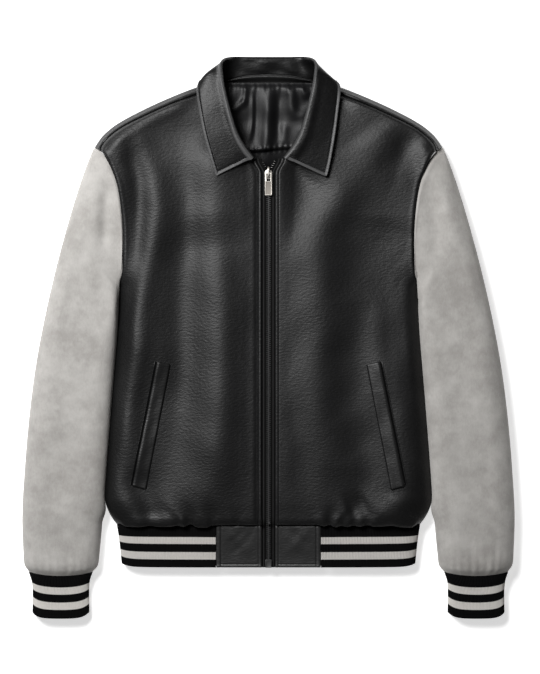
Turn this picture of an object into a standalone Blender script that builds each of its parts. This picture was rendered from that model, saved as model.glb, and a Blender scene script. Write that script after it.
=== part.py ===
"""A varsity jacket laid flat on its back: leather body and collar, suede sleeves, knitted cuffs and hem.

The neck points to +Y, the front faces +Z and the wearer's left side is at +X. The cloth rests on z = 0.
Tables and sizes are in millimetres, for the +X half; MM turns them into metres. Each cloth surface below
is the outer face of its piece, and Solidify gives it its wall inwards.
"""

import math
from collections import namedtuple

import bmesh
import bpy
from mathutils import Vector
from mathutils.bvhtree import BVHTree

MM = 0.001

# Walls.
LEATHER_WALL = 1.6
TAB_WALL = 1.8
SUEDE_WALL = 1.6
KNIT_WALL = 2.4
COLLAR_WALL = 2.2  # upper and under collar, sewn together
LINING_WALL = 1.0
SEAM_GAP = 0.5  # between two pieces that are sewn together
SIDE_GAP = 0.8  # from the middle of a side seam to each of its two panels

# Main lines of the body.
HEM_SEAM_Y = -260.0
HEM_END_Y = -320.2
UNDERARM_Y = 68.5
FRONT_EDGE_X = 7.2  # from the centre to the folded edge of each front
PARTING_Y = 226.0  # from here up the two fronts part
TAB_EDGE_X = 72.5  # outer edge of the leather tab at each end of the hem knit
SIDE_Z = 16.0  # height of the side seams above the floor
SIDE_ROLL = 42.0  # width over which the front curves down to a side seam
FLOOR_ROLL = 14.0  # width over which the underside curves up to it

# The body is raised at the neck by the part of the collar that lies under it.
NECK_LIFT = 3.2
NECK_LIFT_FROM_Y = 296.0
NECK_LIFT_TO_Y = 344.0

# Blousing: the front drops to the hem seam, less at the tabs than above the knit.
HEM_DROP_TAB = 6.5
HEM_DROP_KNIT = 14.0
HEM_DROP_REACH = 17.0
HEM_DROP_FROM_X, HEM_DROP_TO_X = 55.0, 115.0

BodyRow = namedtuple("BodyRow", "y half_width height")
BODY = [
    BodyRow(-260, 211.5, 41.0),
    BodyRow(-252, 218.5, 41.5),
    BodyRow(-243, 223.5, 42.0),
    BodyRow(-228, 226.3, 43.0),
    BodyRow(-200, 225.3, 43.5),
    BodyRow(-120, 219.0, 43.5),
    BodyRow(-50, 213.5, 42.5),
    BodyRow(10, 209.2, 41.5),
    BodyRow(68.5, 207.8, 41.0),
    BodyRow(170, 207.8, 40.5),
    BodyRow(265, 207.8, 38.5),
    BodyRow(370, 207.8, 37.0),
]

# Seams in plan, each from its first named end to its last.
Spot = namedtuple("Spot", "x y")
ARMHOLE = [  # shoulder tip to underarm; the shoulder seam meets it at the second spot
    Spot(242.3, 263.8),
    Spot(232, 258),
    Spot(223.5, 246.5),
    Spot(215.5, 230.5),
    Spot(208, 208),
    Spot(202.7, 173),
    Spot(200.7, 138),
    Spot(202, 101),
    Spot(207.8, UNDERARM_Y),
]
FRONT_NECK = [  # front edge to the neck end of the shoulder seam
    Spot(17.5, 246),
    Spot(28, 249.5),
    Spot(40.5, 259.5),
    Spot(52, 274),
    Spot(60.5, 291),
    Spot(68, 310),
    Spot(75, 327),
    Spot(81, 343.5),
]
SHOULDER_SEAM = [  # neck end to armhole
    Spot(81, 343.5),
    Spot(100, 336.3),
    Spot(133, 322.7),
    Spot(162.5, 309.5),
    Spot(201, 290.5),
    Spot(219.5, 277),
    Spot(229.5, 265.5),
    Spot(232, 258),
]
BACK_NECK = [  # middle of the back to the neck end of the shoulder ridge
    Spot(0, 367.5),
    Spot(30, 365.6),
    Spot(46, 362.2),
    Spot(60, 358.4),
    Spot(70, 355.6),
    Spot(79, 354),
]
SHOULDER_RIDGE = [  # neck to shoulder tip, the outline of the shoulder
    Spot(79, 354),
    Spot(101, 347.6),
    Spot(138, 333),
    Spot(174.5, 316.3),
    Spot(210.5, 296.8),
    Spot(230.5, 280.5),
    Spot(242.3, 263.8),
]
NECK_FALL = [Spot(0, 384), Spot(45, 379), Spot(67, 366)]  # the body would round down here, but for the neck
CAP_FALL = [Spot(237, 103), Spot(263, 159), Spot(269, 211), Spot(259, 246)]  # the same, beyond the armhole

# Sleeve rings, from the armhole to the cuff: share of the way, outer edge, inner edge and height.
SleeveRing = namedtuple("SleeveRing", "at outer_x outer_y inner_x inner_y height")
SLEEVE = [
    SleeveRing(0.00, 243.1, 263.4, 208.6, 68.1, 38.0),
    SleeveRing(0.06, 253.2, 238.8, 209.5, 51.7, 40.0),
    SleeveRing(0.13, 265.2, 204.0, 210.5, 31.8, 42.0),
    SleeveRing(0.23, 280.1, 154.2, 211.9, 3.0, 43.0),
    SleeveRing(0.34, 297.0, 90.5, 215.1, -35.8, 43.5),
    SleeveRing(0.46, 312.9, 19.9, 219.3, -83.6, 43.5),
    SleeveRing(0.58, 325.4, -49.8, 223.7, -131.3, 43.0),
    SleeveRing(0.70, 334.3, -123.4, 227.3, -183.1, 42.5),
    SleeveRing(0.81, 339.8, -191.0, 229.4, -228.8, 42.0),
    SleeveRing(0.90, 342.8, -248.8, 232.2, -268.6, 41.0),
    SleeveRing(0.96, 341.3, -298.5, 235.4, -302.5, 39.5),
    SleeveRing(0.985, 339.6, -316.9, 237.8, -318.4, 36.5),
    SleeveRing(1.00, 333.5, -326.4, 245.0, -326.9, 29.0),
]
SLEEVE_ROLL = 34.0
SLEEVE_BOW = 6.0  # how far the sleeve's end bows down at its middle
SLEEVE_BOW_FROM = 0.8
SLEEVE_CROWDING = 1.45  # rings closer together towards the cuff
CAP_SHARE = 0.36  # share of the sleeve over which the armhole's shape fades out
CAP_HEIGHT_SHARE = 0.2  # the same for the height of the body beside it

CuffRow = namedtuple("CuffRow", "at centre_x half_width height")
CUFF = [
    CuffRow(0.0, 289.25, 44.25, 27.5),
    CuffRow(0.2, 289.5, 40.0, 25.0),
    CuffRow(0.45, 289.5, 39.0, 23.5),
    CuffRow(1.0, 289.5, 39.3, 23.0),
]
CUFF_END_Y = -391.5
CUFF_SIDE_Z = 11.0
CUFF_ROLL = 22.0
CUFF_CORNER = 8.0  # how much shorter the cuff is at its sides than at its middle
CUFF_CORNER_SHARPNESS = 6

HemRow = namedtuple("HemRow", "at half_width height")
HEM = [HemRow(0.0, 211.0, 27.0), HemRow(0.4, 207.8, 25.5), HemRow(1.0, 204.4, 24.0)]
HEM_SIDE_Z = 12.5
HEM_ROLL = 26.0
HEM_CORNER = 8.0
HEM_CORNER_SHARPNESS = 14
HEM_LEVEL_X = 150.0  # from here out the knit's own roll gives its height

# Collar stations from the middle of the back to the front end: where it is sewn on, its roll and its
# outer edge, each as a point, how far the middle of the fall bulges out, and the radius of the roll.
Station = namedtuple("Station", "at seam roll edge belly radius")
COLLAR = [
    Station(0.00, (0, 368.2, 6.4), (0, 391.5, 4.0), (0, 348, 0.0), (0, 0, 0), 4.0),
    Station(0.09, (30, 366.4, 6.4), (31, 391.5, 4.0), (33, 347.5, 0.0), (0, 0, 0), 4.0),
    Station(0.16, (46, 363.2, 6.5), (49.5, 390.4, 4.8), (58, 347.5, 0.0), (1, 1, 0), 4.0),
    Station(0.22, (59, 360.6, 7.5), (60, 386.5, 9.5), (76, 348.5, 0.0), (4.5, 4, 0), 4.0),
    Station(0.27, (68.5, 359.9, 10.0), (64, 380.5, 17.0), (88.5, 352, 3.5), (5.5, 5.5, 0.5), 4.0),
    Station(0.32, (75, 359.5, 15.0), (64.5, 373.0, 25.5), (96, 352, 13.0), (4.5, 6, 1.5), 4.0),
    Station(0.38, (77.5, 355.5, 22.0), (63, 363, 34.5), (99.5, 345, 26.5), (2, 4.5, 2.5), 3.8),
    Station(0.45, (77.0, 346.0, 30.0), (61, 350.5, 42.0), (99, 331.5, 38.0), (0, 2, 2), 3.6),
    Station(0.55, (71.0, 329.0, 35.0), (56.5, 330, 47.0), (95.5, 306, 42.8), (0, 0, 1.2), 3.5),
    Station(0.66, (62.0, 308, 37.2), (50.5, 307, 48.0), (91.3, 281, 44.0), (0, 0, 1), 3.4),
    Station(0.77, (51.0, 283.5, 38.0), (42.5, 282.5, 47.4), (86, 257, 44.4), (0, 0, 1), 3.3),
    Station(0.88, (38.5, 265, 38.6), (32.5, 264, 46.8), (81, 236.5, 44.2), (0, 0, 0.8), 3.3),
    Station(1.00, (24.0, 250.5, 39.0), (20.5, 248, 46.2), (76.5, 220.5, 44.0), (0, 0, 0.5), 3.3),
]
COLLAR_LEAN = 4.0  # how far both points of the laid collar lean to +X
COLLAR_LEAN_FROM = 0.45

# Slanted pocket welt: its corners in plan.
WELT_TOP_INNER = Spot(135, -38)
WELT_TOP_OUTER = Spot(154, -33.5)
WELT_LOW_INNER = Spot(169, -212)
WELT_LOW_OUTER = Spot(188.5, -206)
WELT_WALL = 1.8
WELT_CLEAR = 0.7
ABOVE_Z = 100.0  # a height above everything, from which a front's outer face is found

# Zip. The tape's upper face lies TAPE_DEPTH below the outer face of the fronts.
TAPE_WALL = 1.0
TAPE_INNER_X = 3.4
TAPE_OUTER_X = 15.0
TAPE_DEPTH = 2.5
CHAIN_HALF_WIDTH = 3.0
CHAIN_THICKNESS = 2.4
BOX_LENGTH = 11.0
BOX_HALF_WIDTH = 4.2
BOX_THICKNESS = 3.2
SLIDER_Y = 226.0
SLIDER_HALF_LENGTH = 8.1
SLIDER_HALF_WIDTH = 5.4
SLIDER_PLATE = 2.8
BRIDGE_HALF_WIDTH = 1.9
BRIDGE_RISE = 4.6
BRIDGE_WALL = 1.3
BRIDGE_FOOT = 2.2
BRIDGE_INSET = 0.4  # from the slider's ends
BRIDGE_ROOT = 1.0  # height above the slider's underside at which the bridge starts
PIVOT_RISE = 1.5  # crossbar's centre above the slider's plate
PULL_THICKNESS = 1.8
PULL_LENGTH = 30.4
PULL_HALF_WIDTH = 4.9
PULL_SLOT_HALF_WIDTH = 2.5
PULL_SLOT_LENGTH = 9.4
PULL_CROSSBAR = 1.8

# Gathers of each front into the hem seam, and its broad soft folds.
Tuck = namedtuple("Tuck", "x half_width depth")
TUCKS = {
    +1: [Tuck(85, 7, 3.0), Tuck(112, 9, 2.0), Tuck(136, 8, 2.2), Tuck(165, 12, 1.4)],
    -1: [Tuck(43, 6, 1.0), Tuck(78, 7, 1.6), Tuck(110, 8, 3.2), Tuck(150, 14, 1.4)],
}
TUCK_REACH = 36.0
TUCK_START = 0.2  # share of the reach over which a gather deepens from the seam
Fold = namedtuple("Fold", "x y half_length half_width turn rise")
FRONT_FOLDS = {
    +1: [Fold(176, 205, 75, 13, 8, -2.6), Fold(120, 40, 110, 26, -8, 1.6), Fold(150, 110, 80, 20, 14, 1.2)],
    -1: [Fold(171, 195, 85, 11, 2, -3.0), Fold(110, -20, 120, 26, 6, 1.6), Fold(140, 120, 80, 18, 4, 1.4)],
}
SLEEVE_FOLDS = {
    +1: [Fold(243, 140, 60, 12, -12, -2.4), Fold(290, -60, 60, 18, 30, 1.8), Fold(282, -220, 50, 18, -40, 1.6)],
    -1: [Fold(229, 150, 62, 10, -6, -3.0), Fold(280, -20, 60, 18, 24, 1.6), Fold(292, -190, 50, 18, 40, 1.6)],
}

# The folds fade out towards the edges of their piece, over a distance that starts at a margin, and
# towards the collar.
EDGE_MARGIN, EDGE_FADE = 6.0, 40.0
SIDE_MARGIN, SIDE_FADE = 5.0, 24.0
CALM_NECK_X, CALM_NECK_X_FADE = 100.0, 30.0
CALM_NECK_Y, CALM_NECK_Y_FADE = 235.0, 40.0
SLEEVE_FADE = 30.0
SLEEVE_END_FADE = 0.1

# Lining and facing at the back of the neck.
FACING_DEPTH = 10.5
FACING_SHARE = 0.78  # share of the back neck's half that they run along
FACING_INSET = 1.2
INSIDE_BACK_Z = 14.0  # a height inside the hollow body, from which the back's inner face is found
LINING_END_Y = 214.0
LINING_END_HALF = 88.0
LINING_WAVES = 6.5
LINING_WAVE = 1.5
FACING_CLEAR = 0.6
LINING_CLEAR = 1.4

# Faces across and along the panels.
COLUMNS, ROWS = 14, 18
NECK_COLUMN, UNDERARM_ROW = 5, 10
COLUMN_CROWDING = 1.8
HEM_CROWDING, SHOULDER_CROWDING = 0.84, 0.62
STRIP_ROWS = 3
SLEEVE_AROUND, SLEEVE_ALONG = 26, 16
CUFF_AROUND, CUFF_ALONG = 26, 4


# Curves and tables.


def blend(a, b, t):
    """A number or vector between a and b."""
    return a + (b - a) * t


def ease(t):
    """0 to 1 with level ends."""
    t = min(max(t, 0.0), 1.0)
    return t * t * (3 - 2 * t)


def quarter(t):
    """Height of a quarter circle at share t of its width."""
    t = min(max(t, 0.0), 1.0)
    return math.sqrt(1 - (1 - t) ** 2)


def read(rows, value):
    """All columns of a table at a value of its first column, on a smooth curve through its rows."""
    keys = [row[0] for row in rows]
    value = min(max(value, keys[0]), keys[-1])
    i = next((n for n in range(1, len(keys)) if value <= keys[n]), len(keys) - 1)
    span = keys[i] - keys[i - 1]
    t = (value - keys[i - 1]) / span

    def slope(column, n):
        low, high = max(n - 1, 0), min(n + 1, len(rows) - 1)
        return (column[high] - column[low]) / (keys[high] - keys[low]) * span

    def smooth(column):
        if isinstance(column[0], tuple):
            return Vector([smooth(part) for part in zip(*column)])
        start, end = column[i - 1], column[i]
        bend = slope(column, i - 1) * t * (1 - t) ** 2 - slope(column, i) * t * t * (1 - t)
        return blend(start, end, t * t * (3 - 2 * t)) + bend

    return type(rows[0])(*(smooth(column) for column in zip(*rows)))


Step = namedtuple("Step", "at x y")


def steps_along(spots):
    """The spots, each with its share of the way along them."""
    lengths = [0.0]
    for a, b in zip(spots, spots[1:]):
        lengths.append(lengths[-1] + math.hypot(b.x - a.x, b.y - a.y))
    return [Step(length / lengths[-1], spot.x, spot.y) for length, spot in zip(lengths, spots)]


def walker(spots):
    """A function from 0..1 to the point at that share of a smooth curve through the spots."""
    steps = steps_along(spots)

    def place(share):
        step = read(steps, share)
        return Vector((step.x, step.y))

    return place


armhole = walker(ARMHOLE)
front_neck = walker(FRONT_NECK)
back_neck = walker(BACK_NECK)
shoulder_seam = walker(SHOULDER_SEAM)
shoulder_ridge = walker(SHOULDER_RIDGE)
SEAM_SHARE = steps_along(ARMHOLE)[1].at


def column_at(n):
    """Share of the way across a panel of its n-th line, closer together towards the side."""
    return 1 - (1 - n / COLUMNS) ** COLUMN_CROWDING


def row_at(m):
    """Share of the way up a panel of its m-th line, closer together at the hem and near the shoulder."""
    t = m / ROWS
    crowding = HEM_CROWDING if t < 0.5 else SHOULDER_CROWDING
    return t - crowding * math.sin(2 * math.pi * t) / (2 * math.pi)


NECK_AT = column_at(NECK_COLUMN)
UNDERARM_AT = row_at(UNDERARM_ROW)


# The form of the laid body.


def fall_line():
    """The plan line down to which the body's upper side curves: side, sleeve cap, shoulder and neck."""
    side_steps, ridge_steps = 40, 16
    heights = [blend(HEM_SEAM_Y, UNDERARM_Y, (n / side_steps) ** 1.5) for n in range(side_steps + 1)]
    line = [Vector((read(BODY, y).half_width, y)) for y in heights]
    line += [Vector(spot) for spot in CAP_FALL]
    line += [shoulder_ridge(1 - n / ridge_steps) for n in range(ridge_steps + 1)]
    line += [Vector(spot) for spot in reversed(NECK_FALL)]
    return line


FALL_LINE = fall_line()


def to_fall(x, y):
    """Distance in plan to the fall line."""
    point = Vector((abs(x), y))
    nearest = math.inf
    for a, b in zip(FALL_LINE, FALL_LINE[1:]):
        along = b - a
        t = min(max((point - a).dot(along) / along.length_squared, 0.0), 1.0)
        nearest = min(nearest, (point - a - along * t).length)
    return nearest


def fold_rise(folds, x, y):
    """Height that broad folds add at a plan point."""
    rise = 0.0
    for fold in folds:
        turn = math.radians(fold.turn)
        dx, dy = x - fold.x, y - fold.y
        across = (dx * math.cos(turn) + dy * math.sin(turn)) / fold.half_width
        along = (dy * math.cos(turn) - dx * math.sin(turn)) / fold.half_length
        rise += fold.rise * math.exp(-(across**2) - along**2)
    return rise


def hem_drop(x, y):
    """How far the blousing has dropped towards the hem seam."""
    out = ease((abs(x) - HEM_DROP_FROM_X) / (HEM_DROP_TO_X - HEM_DROP_FROM_X))
    depth = blend(HEM_DROP_TAB, HEM_DROP_KNIT, out)
    return depth * math.exp(-(((y - HEM_SEAM_Y) / HEM_DROP_REACH) ** 2))


def tuck_depth(tucks, x, y):
    """Depth of the gathers above the hem seam."""
    up = (y - HEM_SEAM_Y) / TUCK_REACH
    fade = ease(up / TUCK_START) * math.exp(-(up**2))
    return fade * sum(tuck.depth * math.exp(-(((x - tuck.x) / tuck.half_width) ** 2)) for tuck in tucks)


def top_z(x, y, side=0):
    """Height of the outer face on the body's upper side; side adds the folds of one front."""
    row = read(BODY, y)
    away = to_fall(x, y)
    z = SIDE_Z + (row.height - hem_drop(x, y) - SIDE_Z) * quarter(away / SIDE_ROLL)
    if side:
        calm = ease((x - FRONT_EDGE_X - EDGE_MARGIN) / EDGE_FADE) * ease((away - SIDE_MARGIN) / SIDE_FADE)
        in_neck = ease((CALM_NECK_X - x) / CALM_NECK_X_FADE + 1) * ease((y - CALM_NECK_Y) / CALM_NECK_Y_FADE)
        z += calm * ((1 - in_neck) * fold_rise(FRONT_FOLDS[side], x, y) - tuck_depth(TUCKS[side], x, y))
    return z


def neck_lift(y):
    return NECK_LIFT * ease((y - NECK_LIFT_FROM_Y) / (NECK_LIFT_TO_Y - NECK_LIFT_FROM_Y))


def under_z(x, y):
    """Height of the outer face on the body's under side."""
    lift = neck_lift(y)
    return lift + (SIDE_Z - lift) * (1 - quarter(to_fall(x, y) / FLOOR_ROLL))


def front_edge_x(y):
    """A front's folded edge: straight along the zip, parting above the slider."""
    return blend(FRONT_EDGE_X, FRONT_NECK[0].x, ease((y - PARTING_Y) / (FRONT_NECK[0].y - PARTING_Y)))


def body_side(v, arm_end=0.0):
    """The body's side edge at share v of its height: side seam, then armhole up to its share arm_end."""
    if v <= UNDERARM_AT:
        y = blend(HEM_SEAM_Y, UNDERARM_Y, v / UNDERARM_AT)
        return Vector((read(BODY, y).half_width, y))
    return armhole(blend(1, arm_end, (v - UNDERARM_AT) / (1 - UNDERARM_AT)))


def patch(left, right, low, high, u, v):
    """A point of the Coons patch between four plan curves that meet at its corners."""
    edges = blend(left(v), right(v), u) + blend(low(u), high(u), v)
    corners = blend(blend(low(0), low(1), u), blend(high(0), high(1), u), v)
    return edges - corners


# Making objects.


def material(name, colour, roughness, metallic=0.0):
    made = bpy.data.materials.new(name)
    made.use_nodes = True
    shader = made.node_tree.nodes["Principled BSDF"]
    shader.inputs["Base Color"].default_value = (*colour, 1)
    shader.inputs["Roughness"].default_value = roughness
    shader.inputs["Metallic"].default_value = metallic
    return made


def add(name, mesh, finish):
    """An object of the jacket's collection."""
    obj = bpy.data.objects.new(name, mesh)
    obj.data.materials.append(finish)
    jacket.objects.link(obj)
    return obj


def sheet(name, across, along, place, wall, finish, mirror=False, turned=False):
    """A cloth piece: a grid laid on place(n, m) in millimetres, with its wall on the inner side."""
    mesh = bpy.data.meshes.new(name)
    grid = bmesh.new()
    bmesh.ops.create_grid(grid, x_segments=across, y_segments=along, size=0.5)
    for vert in grid.verts:
        n, m = round((vert.co.x + 0.5) * across), round((vert.co.y + 0.5) * along)
        vert.co = Vector(place(n, m)) * MM
    bmesh.ops.remove_doubles(grid, verts=grid.verts, dist=1e-6)
    if turned:
        bmesh.ops.reverse_faces(grid, faces=grid.faces)
    grid.to_mesh(mesh)
    grid.free()
    mesh.shade_smooth()
    obj = add(name, mesh, finish)
    if mirror:
        half = obj.modifiers.new("other half", "MIRROR")
        half.merge_threshold = 0.0001
    thick = obj.modifiers.new("wall", "SOLIDIFY")
    thick.thickness = wall * MM
    thick.offset = -1
    return obj


def box(name, low, high, finish, bevel=0.0):
    """A block between two corners in millimetres, with its edges rounded."""
    mesh = bpy.data.meshes.new(name)
    block = bmesh.new()
    bmesh.ops.create_cube(block, size=1)
    low, high = Vector(low) * MM, Vector(high) * MM
    for vert in block.verts:
        vert.co = Vector([blend(a, b, c + 0.5) for a, b, c in zip(low, high, vert.co)])
    block.to_mesh(mesh)
    block.free()
    obj = add(name, mesh, finish)
    if bevel:
        rounded = obj.modifiers.new("rounded edges", "BEVEL")
        rounded.width = bevel * MM
        rounded.segments = 2
    return obj


def combine(obj, other, operation):
    """Join a block to an object, or cut it out, and set the block aside."""
    step = obj.modifiers.new(other.name, "BOOLEAN")
    step.operation = operation
    step.object = other
    jacket.objects.unlink(other)
    helpers.objects.link(other)
    other.hide_render = True
    other.display_type = "WIRE"


def probe(panel, from_z):
    """A function that gives the height of the panel's facets straight below a point at from_z."""
    facets = BVHTree.FromObject(panel, bpy.context.evaluated_depsgraph_get())

    def height(x, y):
        return facets.ray_cast(Vector((x, y, from_z)) * MM, Vector((0, 0, -1)))[0].z / MM

    return height


# The body.


def make_front(name, side):
    """A front: hem seam to neck and shoulder seam, zip to side seam and armhole."""

    def left(v):
        y = blend(HEM_SEAM_Y, FRONT_NECK[0].y, v)
        return Vector((front_edge_x(y), y))

    def low(u):
        return Vector((blend(FRONT_EDGE_X, BODY[0].half_width, u), HEM_SEAM_Y))

    def high(u):
        if u <= NECK_AT:
            return front_neck(u / NECK_AT)
        return shoulder_seam((u - NECK_AT) / (1 - NECK_AT))

    def right(v):
        return body_side(v, SEAM_SHARE)

    def place(n, m):
        point = patch(left, right, low, high, column_at(n), row_at(m))
        at_side_seam = n == COLUMNS and m <= UNDERARM_ROW
        z = SIDE_Z + SIDE_GAP if at_side_seam else top_z(point.x, point.y, side)
        return side * point.x, point.y, z

    return sheet(name, COLUMNS, ROWS, place, LEATHER_WALL, leather, turned=side < 0)


def make_back(name):
    """The back: flat below, up to the side seams, and over the shoulders to the shoulder seams."""

    def left(v):
        return Vector((0, blend(HEM_SEAM_Y, BACK_NECK[0].y, v)))

    def low(u):
        return Vector((BODY[0].half_width * u, HEM_SEAM_Y))

    def high(u):
        if u <= NECK_AT:
            return back_neck(u / NECK_AT)
        return shoulder_ridge((u - NECK_AT) / (1 - NECK_AT))

    def place(n, m):
        u = column_at(n)
        point = patch(left, body_side, low, high, u, row_at(min(m, ROWS)))
        if n == COLUMNS and m <= UNDERARM_ROW:
            return point.x, point.y, SIDE_Z - SIDE_GAP
        if n >= NECK_COLUMN and m == ROWS:
            return point.x, point.y, SIDE_Z
        if m <= ROWS or n < NECK_COLUMN:
            return point.x, point.y, under_z(point.x, point.y)
        share = (u - NECK_AT) / (1 - NECK_AT)
        seam = shoulder_seam(share)
        seam += (point - seam).normalized() * 2 * SEAM_GAP
        point = blend(point, seam, (m - ROWS) / STRIP_ROWS)
        return point.x, point.y, top_z(point.x, point.y)

    return sheet(name, COLUMNS, ROWS + STRIP_ROWS, place, LEATHER_WALL, leather, mirror=True, turned=True)


# Sleeves and cuffs.


def around(n, count):
    """Where the n-th of count points round a flattened tube lies: share across it, and 1 above or 0 below."""
    half = count // 2
    k = n if n <= half else count - n
    return (1 - math.cos(math.pi * k / half)) / 2, n <= half


def sleeve_end(share):
    """The sleeve's lower edge at a share from its outer to its inner side."""
    last = SLEEVE[-1]
    return blend(last.outer_y, last.inner_y, share) - SLEEVE_BOW * (1 - (2 * share - 1) ** 2)


def tube_z(outer, inner, height, side_z, roll, above):
    """Height of a flattened tube at distances outer and inner from its two sides."""
    if above:
        return side_z + (height - side_z) * quarter(outer / roll) * quarter(inner / roll)
    return side_z * (1 - quarter(min(outer, inner) / FLOOR_ROLL))


def make_sleeve(name, side):
    """A sleeve: one tube from the armhole to the cuff, flat below."""
    chord_start = Vector((SLEEVE[0].outer_x, SLEEVE[0].outer_y))
    chord_end = Vector((SLEEVE[0].inner_x, SLEEVE[0].inner_y))
    clear = chord_start - armhole(0)

    def place(n, m):
        share, above = around(n, SLEEVE_AROUND)
        at = 1 - (1 - m / SLEEVE_ALONG) ** SLEEVE_CROWDING
        ring = read(SLEEVE, at)
        point = blend(Vector((ring.outer_x, ring.outer_y)), Vector((ring.inner_x, ring.inner_y)), share)
        armhole_bow = armhole(share) + clear - blend(chord_start, chord_end, share)
        point += armhole_bow * (1 - ease(at / CAP_SHARE))
        end_bow = SLEEVE_BOW * (1 - (2 * share - 1) ** 2)
        point.y -= end_bow * ease((at - SLEEVE_BOW_FROM) / (1 - SLEEVE_BOW_FROM))
        width = math.hypot(ring.outer_x - ring.inner_x, ring.outer_y - ring.inner_y)
        away, near = share * width, (1 - share) * width
        z = tube_z(away, near, ring.height, SIDE_Z, SLEEVE_ROLL, above)
        body = top_z(point.x, point.y) if above else under_z(point.x, point.y)
        z = blend(body, z, ease(at / CAP_HEIGHT_SHARE))
        if above:
            from_ends = min(at, 1 - at)
            calm = ease(min(away, near) / SLEEVE_FADE) * ease(from_ends / SLEEVE_END_FADE)
            z += calm * fold_rise(SLEEVE_FOLDS[side], point.x, point.y)
        return side * point.x, point.y, z

    return sheet(name, SLEEVE_AROUND, SLEEVE_ALONG, place, SUEDE_WALL, suede, turned=side < 0)


def make_cuff(name, side):
    """A knitted cuff, drawn in from the sleeve's end."""

    def place(n, m):
        share, above = around(n, CUFF_AROUND)
        row = read(CUFF, m / CUFF_ALONG)
        corner = CUFF_CORNER * abs(2 * share - 1) ** CUFF_CORNER_SHARPNESS
        x = row.centre_x + row.half_width * (1 - 2 * share)
        y = blend(sleeve_end(share) - SEAM_GAP, CUFF_END_Y + corner, row.at)
        away, near = share * 2 * row.half_width, (1 - share) * 2 * row.half_width
        side_z = blend(SIDE_Z, CUFF_SIDE_Z, ease(row.at * 2))
        return side * x, y, tube_z(away, near, row.height, side_z, CUFF_ROLL, above)

    return sheet(name, CUFF_AROUND, CUFF_ALONG, place, KNIT_WALL, knit, turned=side < 0)


# Hem.


def hem_z(x, at):
    """Height of the hem's outer face on the upper side, at a share of its depth."""
    row = read(HEM, at)
    seam_z = top_z(min(x, HEM_LEVEL_X), HEM_SEAM_Y)
    height = blend(seam_z, row.height, ease(0.25 + 0.75 * at))
    side_z = blend(SIDE_Z, HEM_SIDE_Z, at)
    return side_z + (height - side_z) * quarter((row.half_width - x) / HEM_ROLL)


def hem_y(x, at):
    """Place along the hem's depth; its lower edge turns up at the sides."""
    reach = abs(x) / read(HEM, at).half_width
    return blend(HEM_SEAM_Y - SEAM_GAP, HEM_END_Y + HEM_CORNER * reach**HEM_CORNER_SHARPNESS, at)


def make_hem_knit(name):
    """The knitted hem: from one tab round the side and the back to the other tab."""
    front_faces, back_faces, down = 9, 12, 4

    def place(n, m):
        at = 1 - m / down
        row = read(HEM, at)
        if n <= front_faces:
            x = blend(TAB_EDGE_X + SEAM_GAP, row.half_width, 1 - (1 - n / front_faces) ** 2)
            return x, hem_y(x, at), hem_z(x, at)
        t = (n - front_faces) / back_faces
        x = row.half_width * (1 - t) * (1 + t * 0.9)
        side_z = blend(SIDE_Z, HEM_SIDE_Z, at)
        return x, hem_y(x, at), side_z * (1 - quarter((row.half_width - x) / FLOOR_ROLL))

    return sheet(name, front_faces + back_faces, down, place, KNIT_WALL, knit, mirror=True)


def make_hem_tab(name, side):
    """The leather tab between the zip and the hem knit."""
    across, down = 5, 5

    def place(n, m):
        at = 1 - m / down
        x = blend(FRONT_EDGE_X, TAB_EDGE_X, n / across)
        return side * x, hem_y(x, at), hem_z(x, at)

    return sheet(name, across, down, place, TAB_WALL, leather, turned=side < 0)


# Collar, facing and lining.


def make_collar(name):
    """The collar: its stand up from the neck seam, over the roll, and the fall down to its edge."""
    stand_faces, roll_faces, fall_faces = 2, 5, 4
    along = stand_faces + roll_faces + fall_faces
    stations = 26

    def place(n, m):
        side = 1 if n >= stations else -1
        station = read(COLLAR, (abs(n - stations) / stations) ** 0.92)
        seam, roll, edge = station.seam, station.roll, station.edge
        out = ((roll - seam).normalized() + (roll - edge).normalized()).normalized()
        across = seam - edge
        across = (across - out * across.dot(out)).normalized()
        centre = roll - out * station.radius
        if m <= stand_faces:
            point = blend(seam, centre + across * station.radius, m / stand_faces)
        elif m <= stand_faces + roll_faces:
            angle = math.pi * (m - stand_faces) / roll_faces
            point = centre + (across * math.cos(angle) + out * math.sin(angle)) * station.radius
        else:
            share = (m - stand_faces - roll_faces) / fall_faces
            point = blend(centre - across * station.radius, edge, share)
            point += station.belly * 4 * share * (1 - share)
        lean = COLLAR_LEAN * ease((station.at - COLLAR_LEAN_FROM) / (1 - COLLAR_LEAN_FROM))
        return side * point.x + lean * (m / along) ** 2, point.y, max(point.z, 0.0)

    return sheet(name, 2 * stations, along, place, COLLAR_WALL, leather)


def make_facing(name, back):
    """The leather band inside the back neck, between collar and lining."""
    across, down = 9, 1
    inside = probe(back, INSIDE_BACK_Z)

    def place(n, m):
        point = back_neck(FACING_SHARE * n / across)
        y = point.y - FACING_INSET - FACING_DEPTH * (1 - m / down)
        return point.x, y, inside(point.x, y) + FACING_CLEAR + LINING_WALL

    return sheet(name, across, down, place, LINING_WALL, leather, mirror=True)


def make_lining(name, back):
    """The back lining below the facing, gathered in soft upright folds."""
    across, down = 24, 5
    inside = probe(back, INSIDE_BACK_Z)

    def place(n, m):
        u, v = n / across, 1 - m / down
        top = back_neck(FACING_SHARE * u)
        top.y -= FACING_INSET + FACING_DEPTH + SEAM_GAP
        x = blend(top.x, LINING_END_HALF * u, ease(v * 2))
        y = blend(top.y, LINING_END_Y, v)
        wave = LINING_WAVE * ease(v * 4) * (1 + math.cos(2 * math.pi * LINING_WAVES * u))
        return x, y, inside(x, y) + LINING_CLEAR + LINING_WALL + wave

    return sheet(name, across, down, place, LINING_WALL, satin, mirror=True)


# Pockets.


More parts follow.
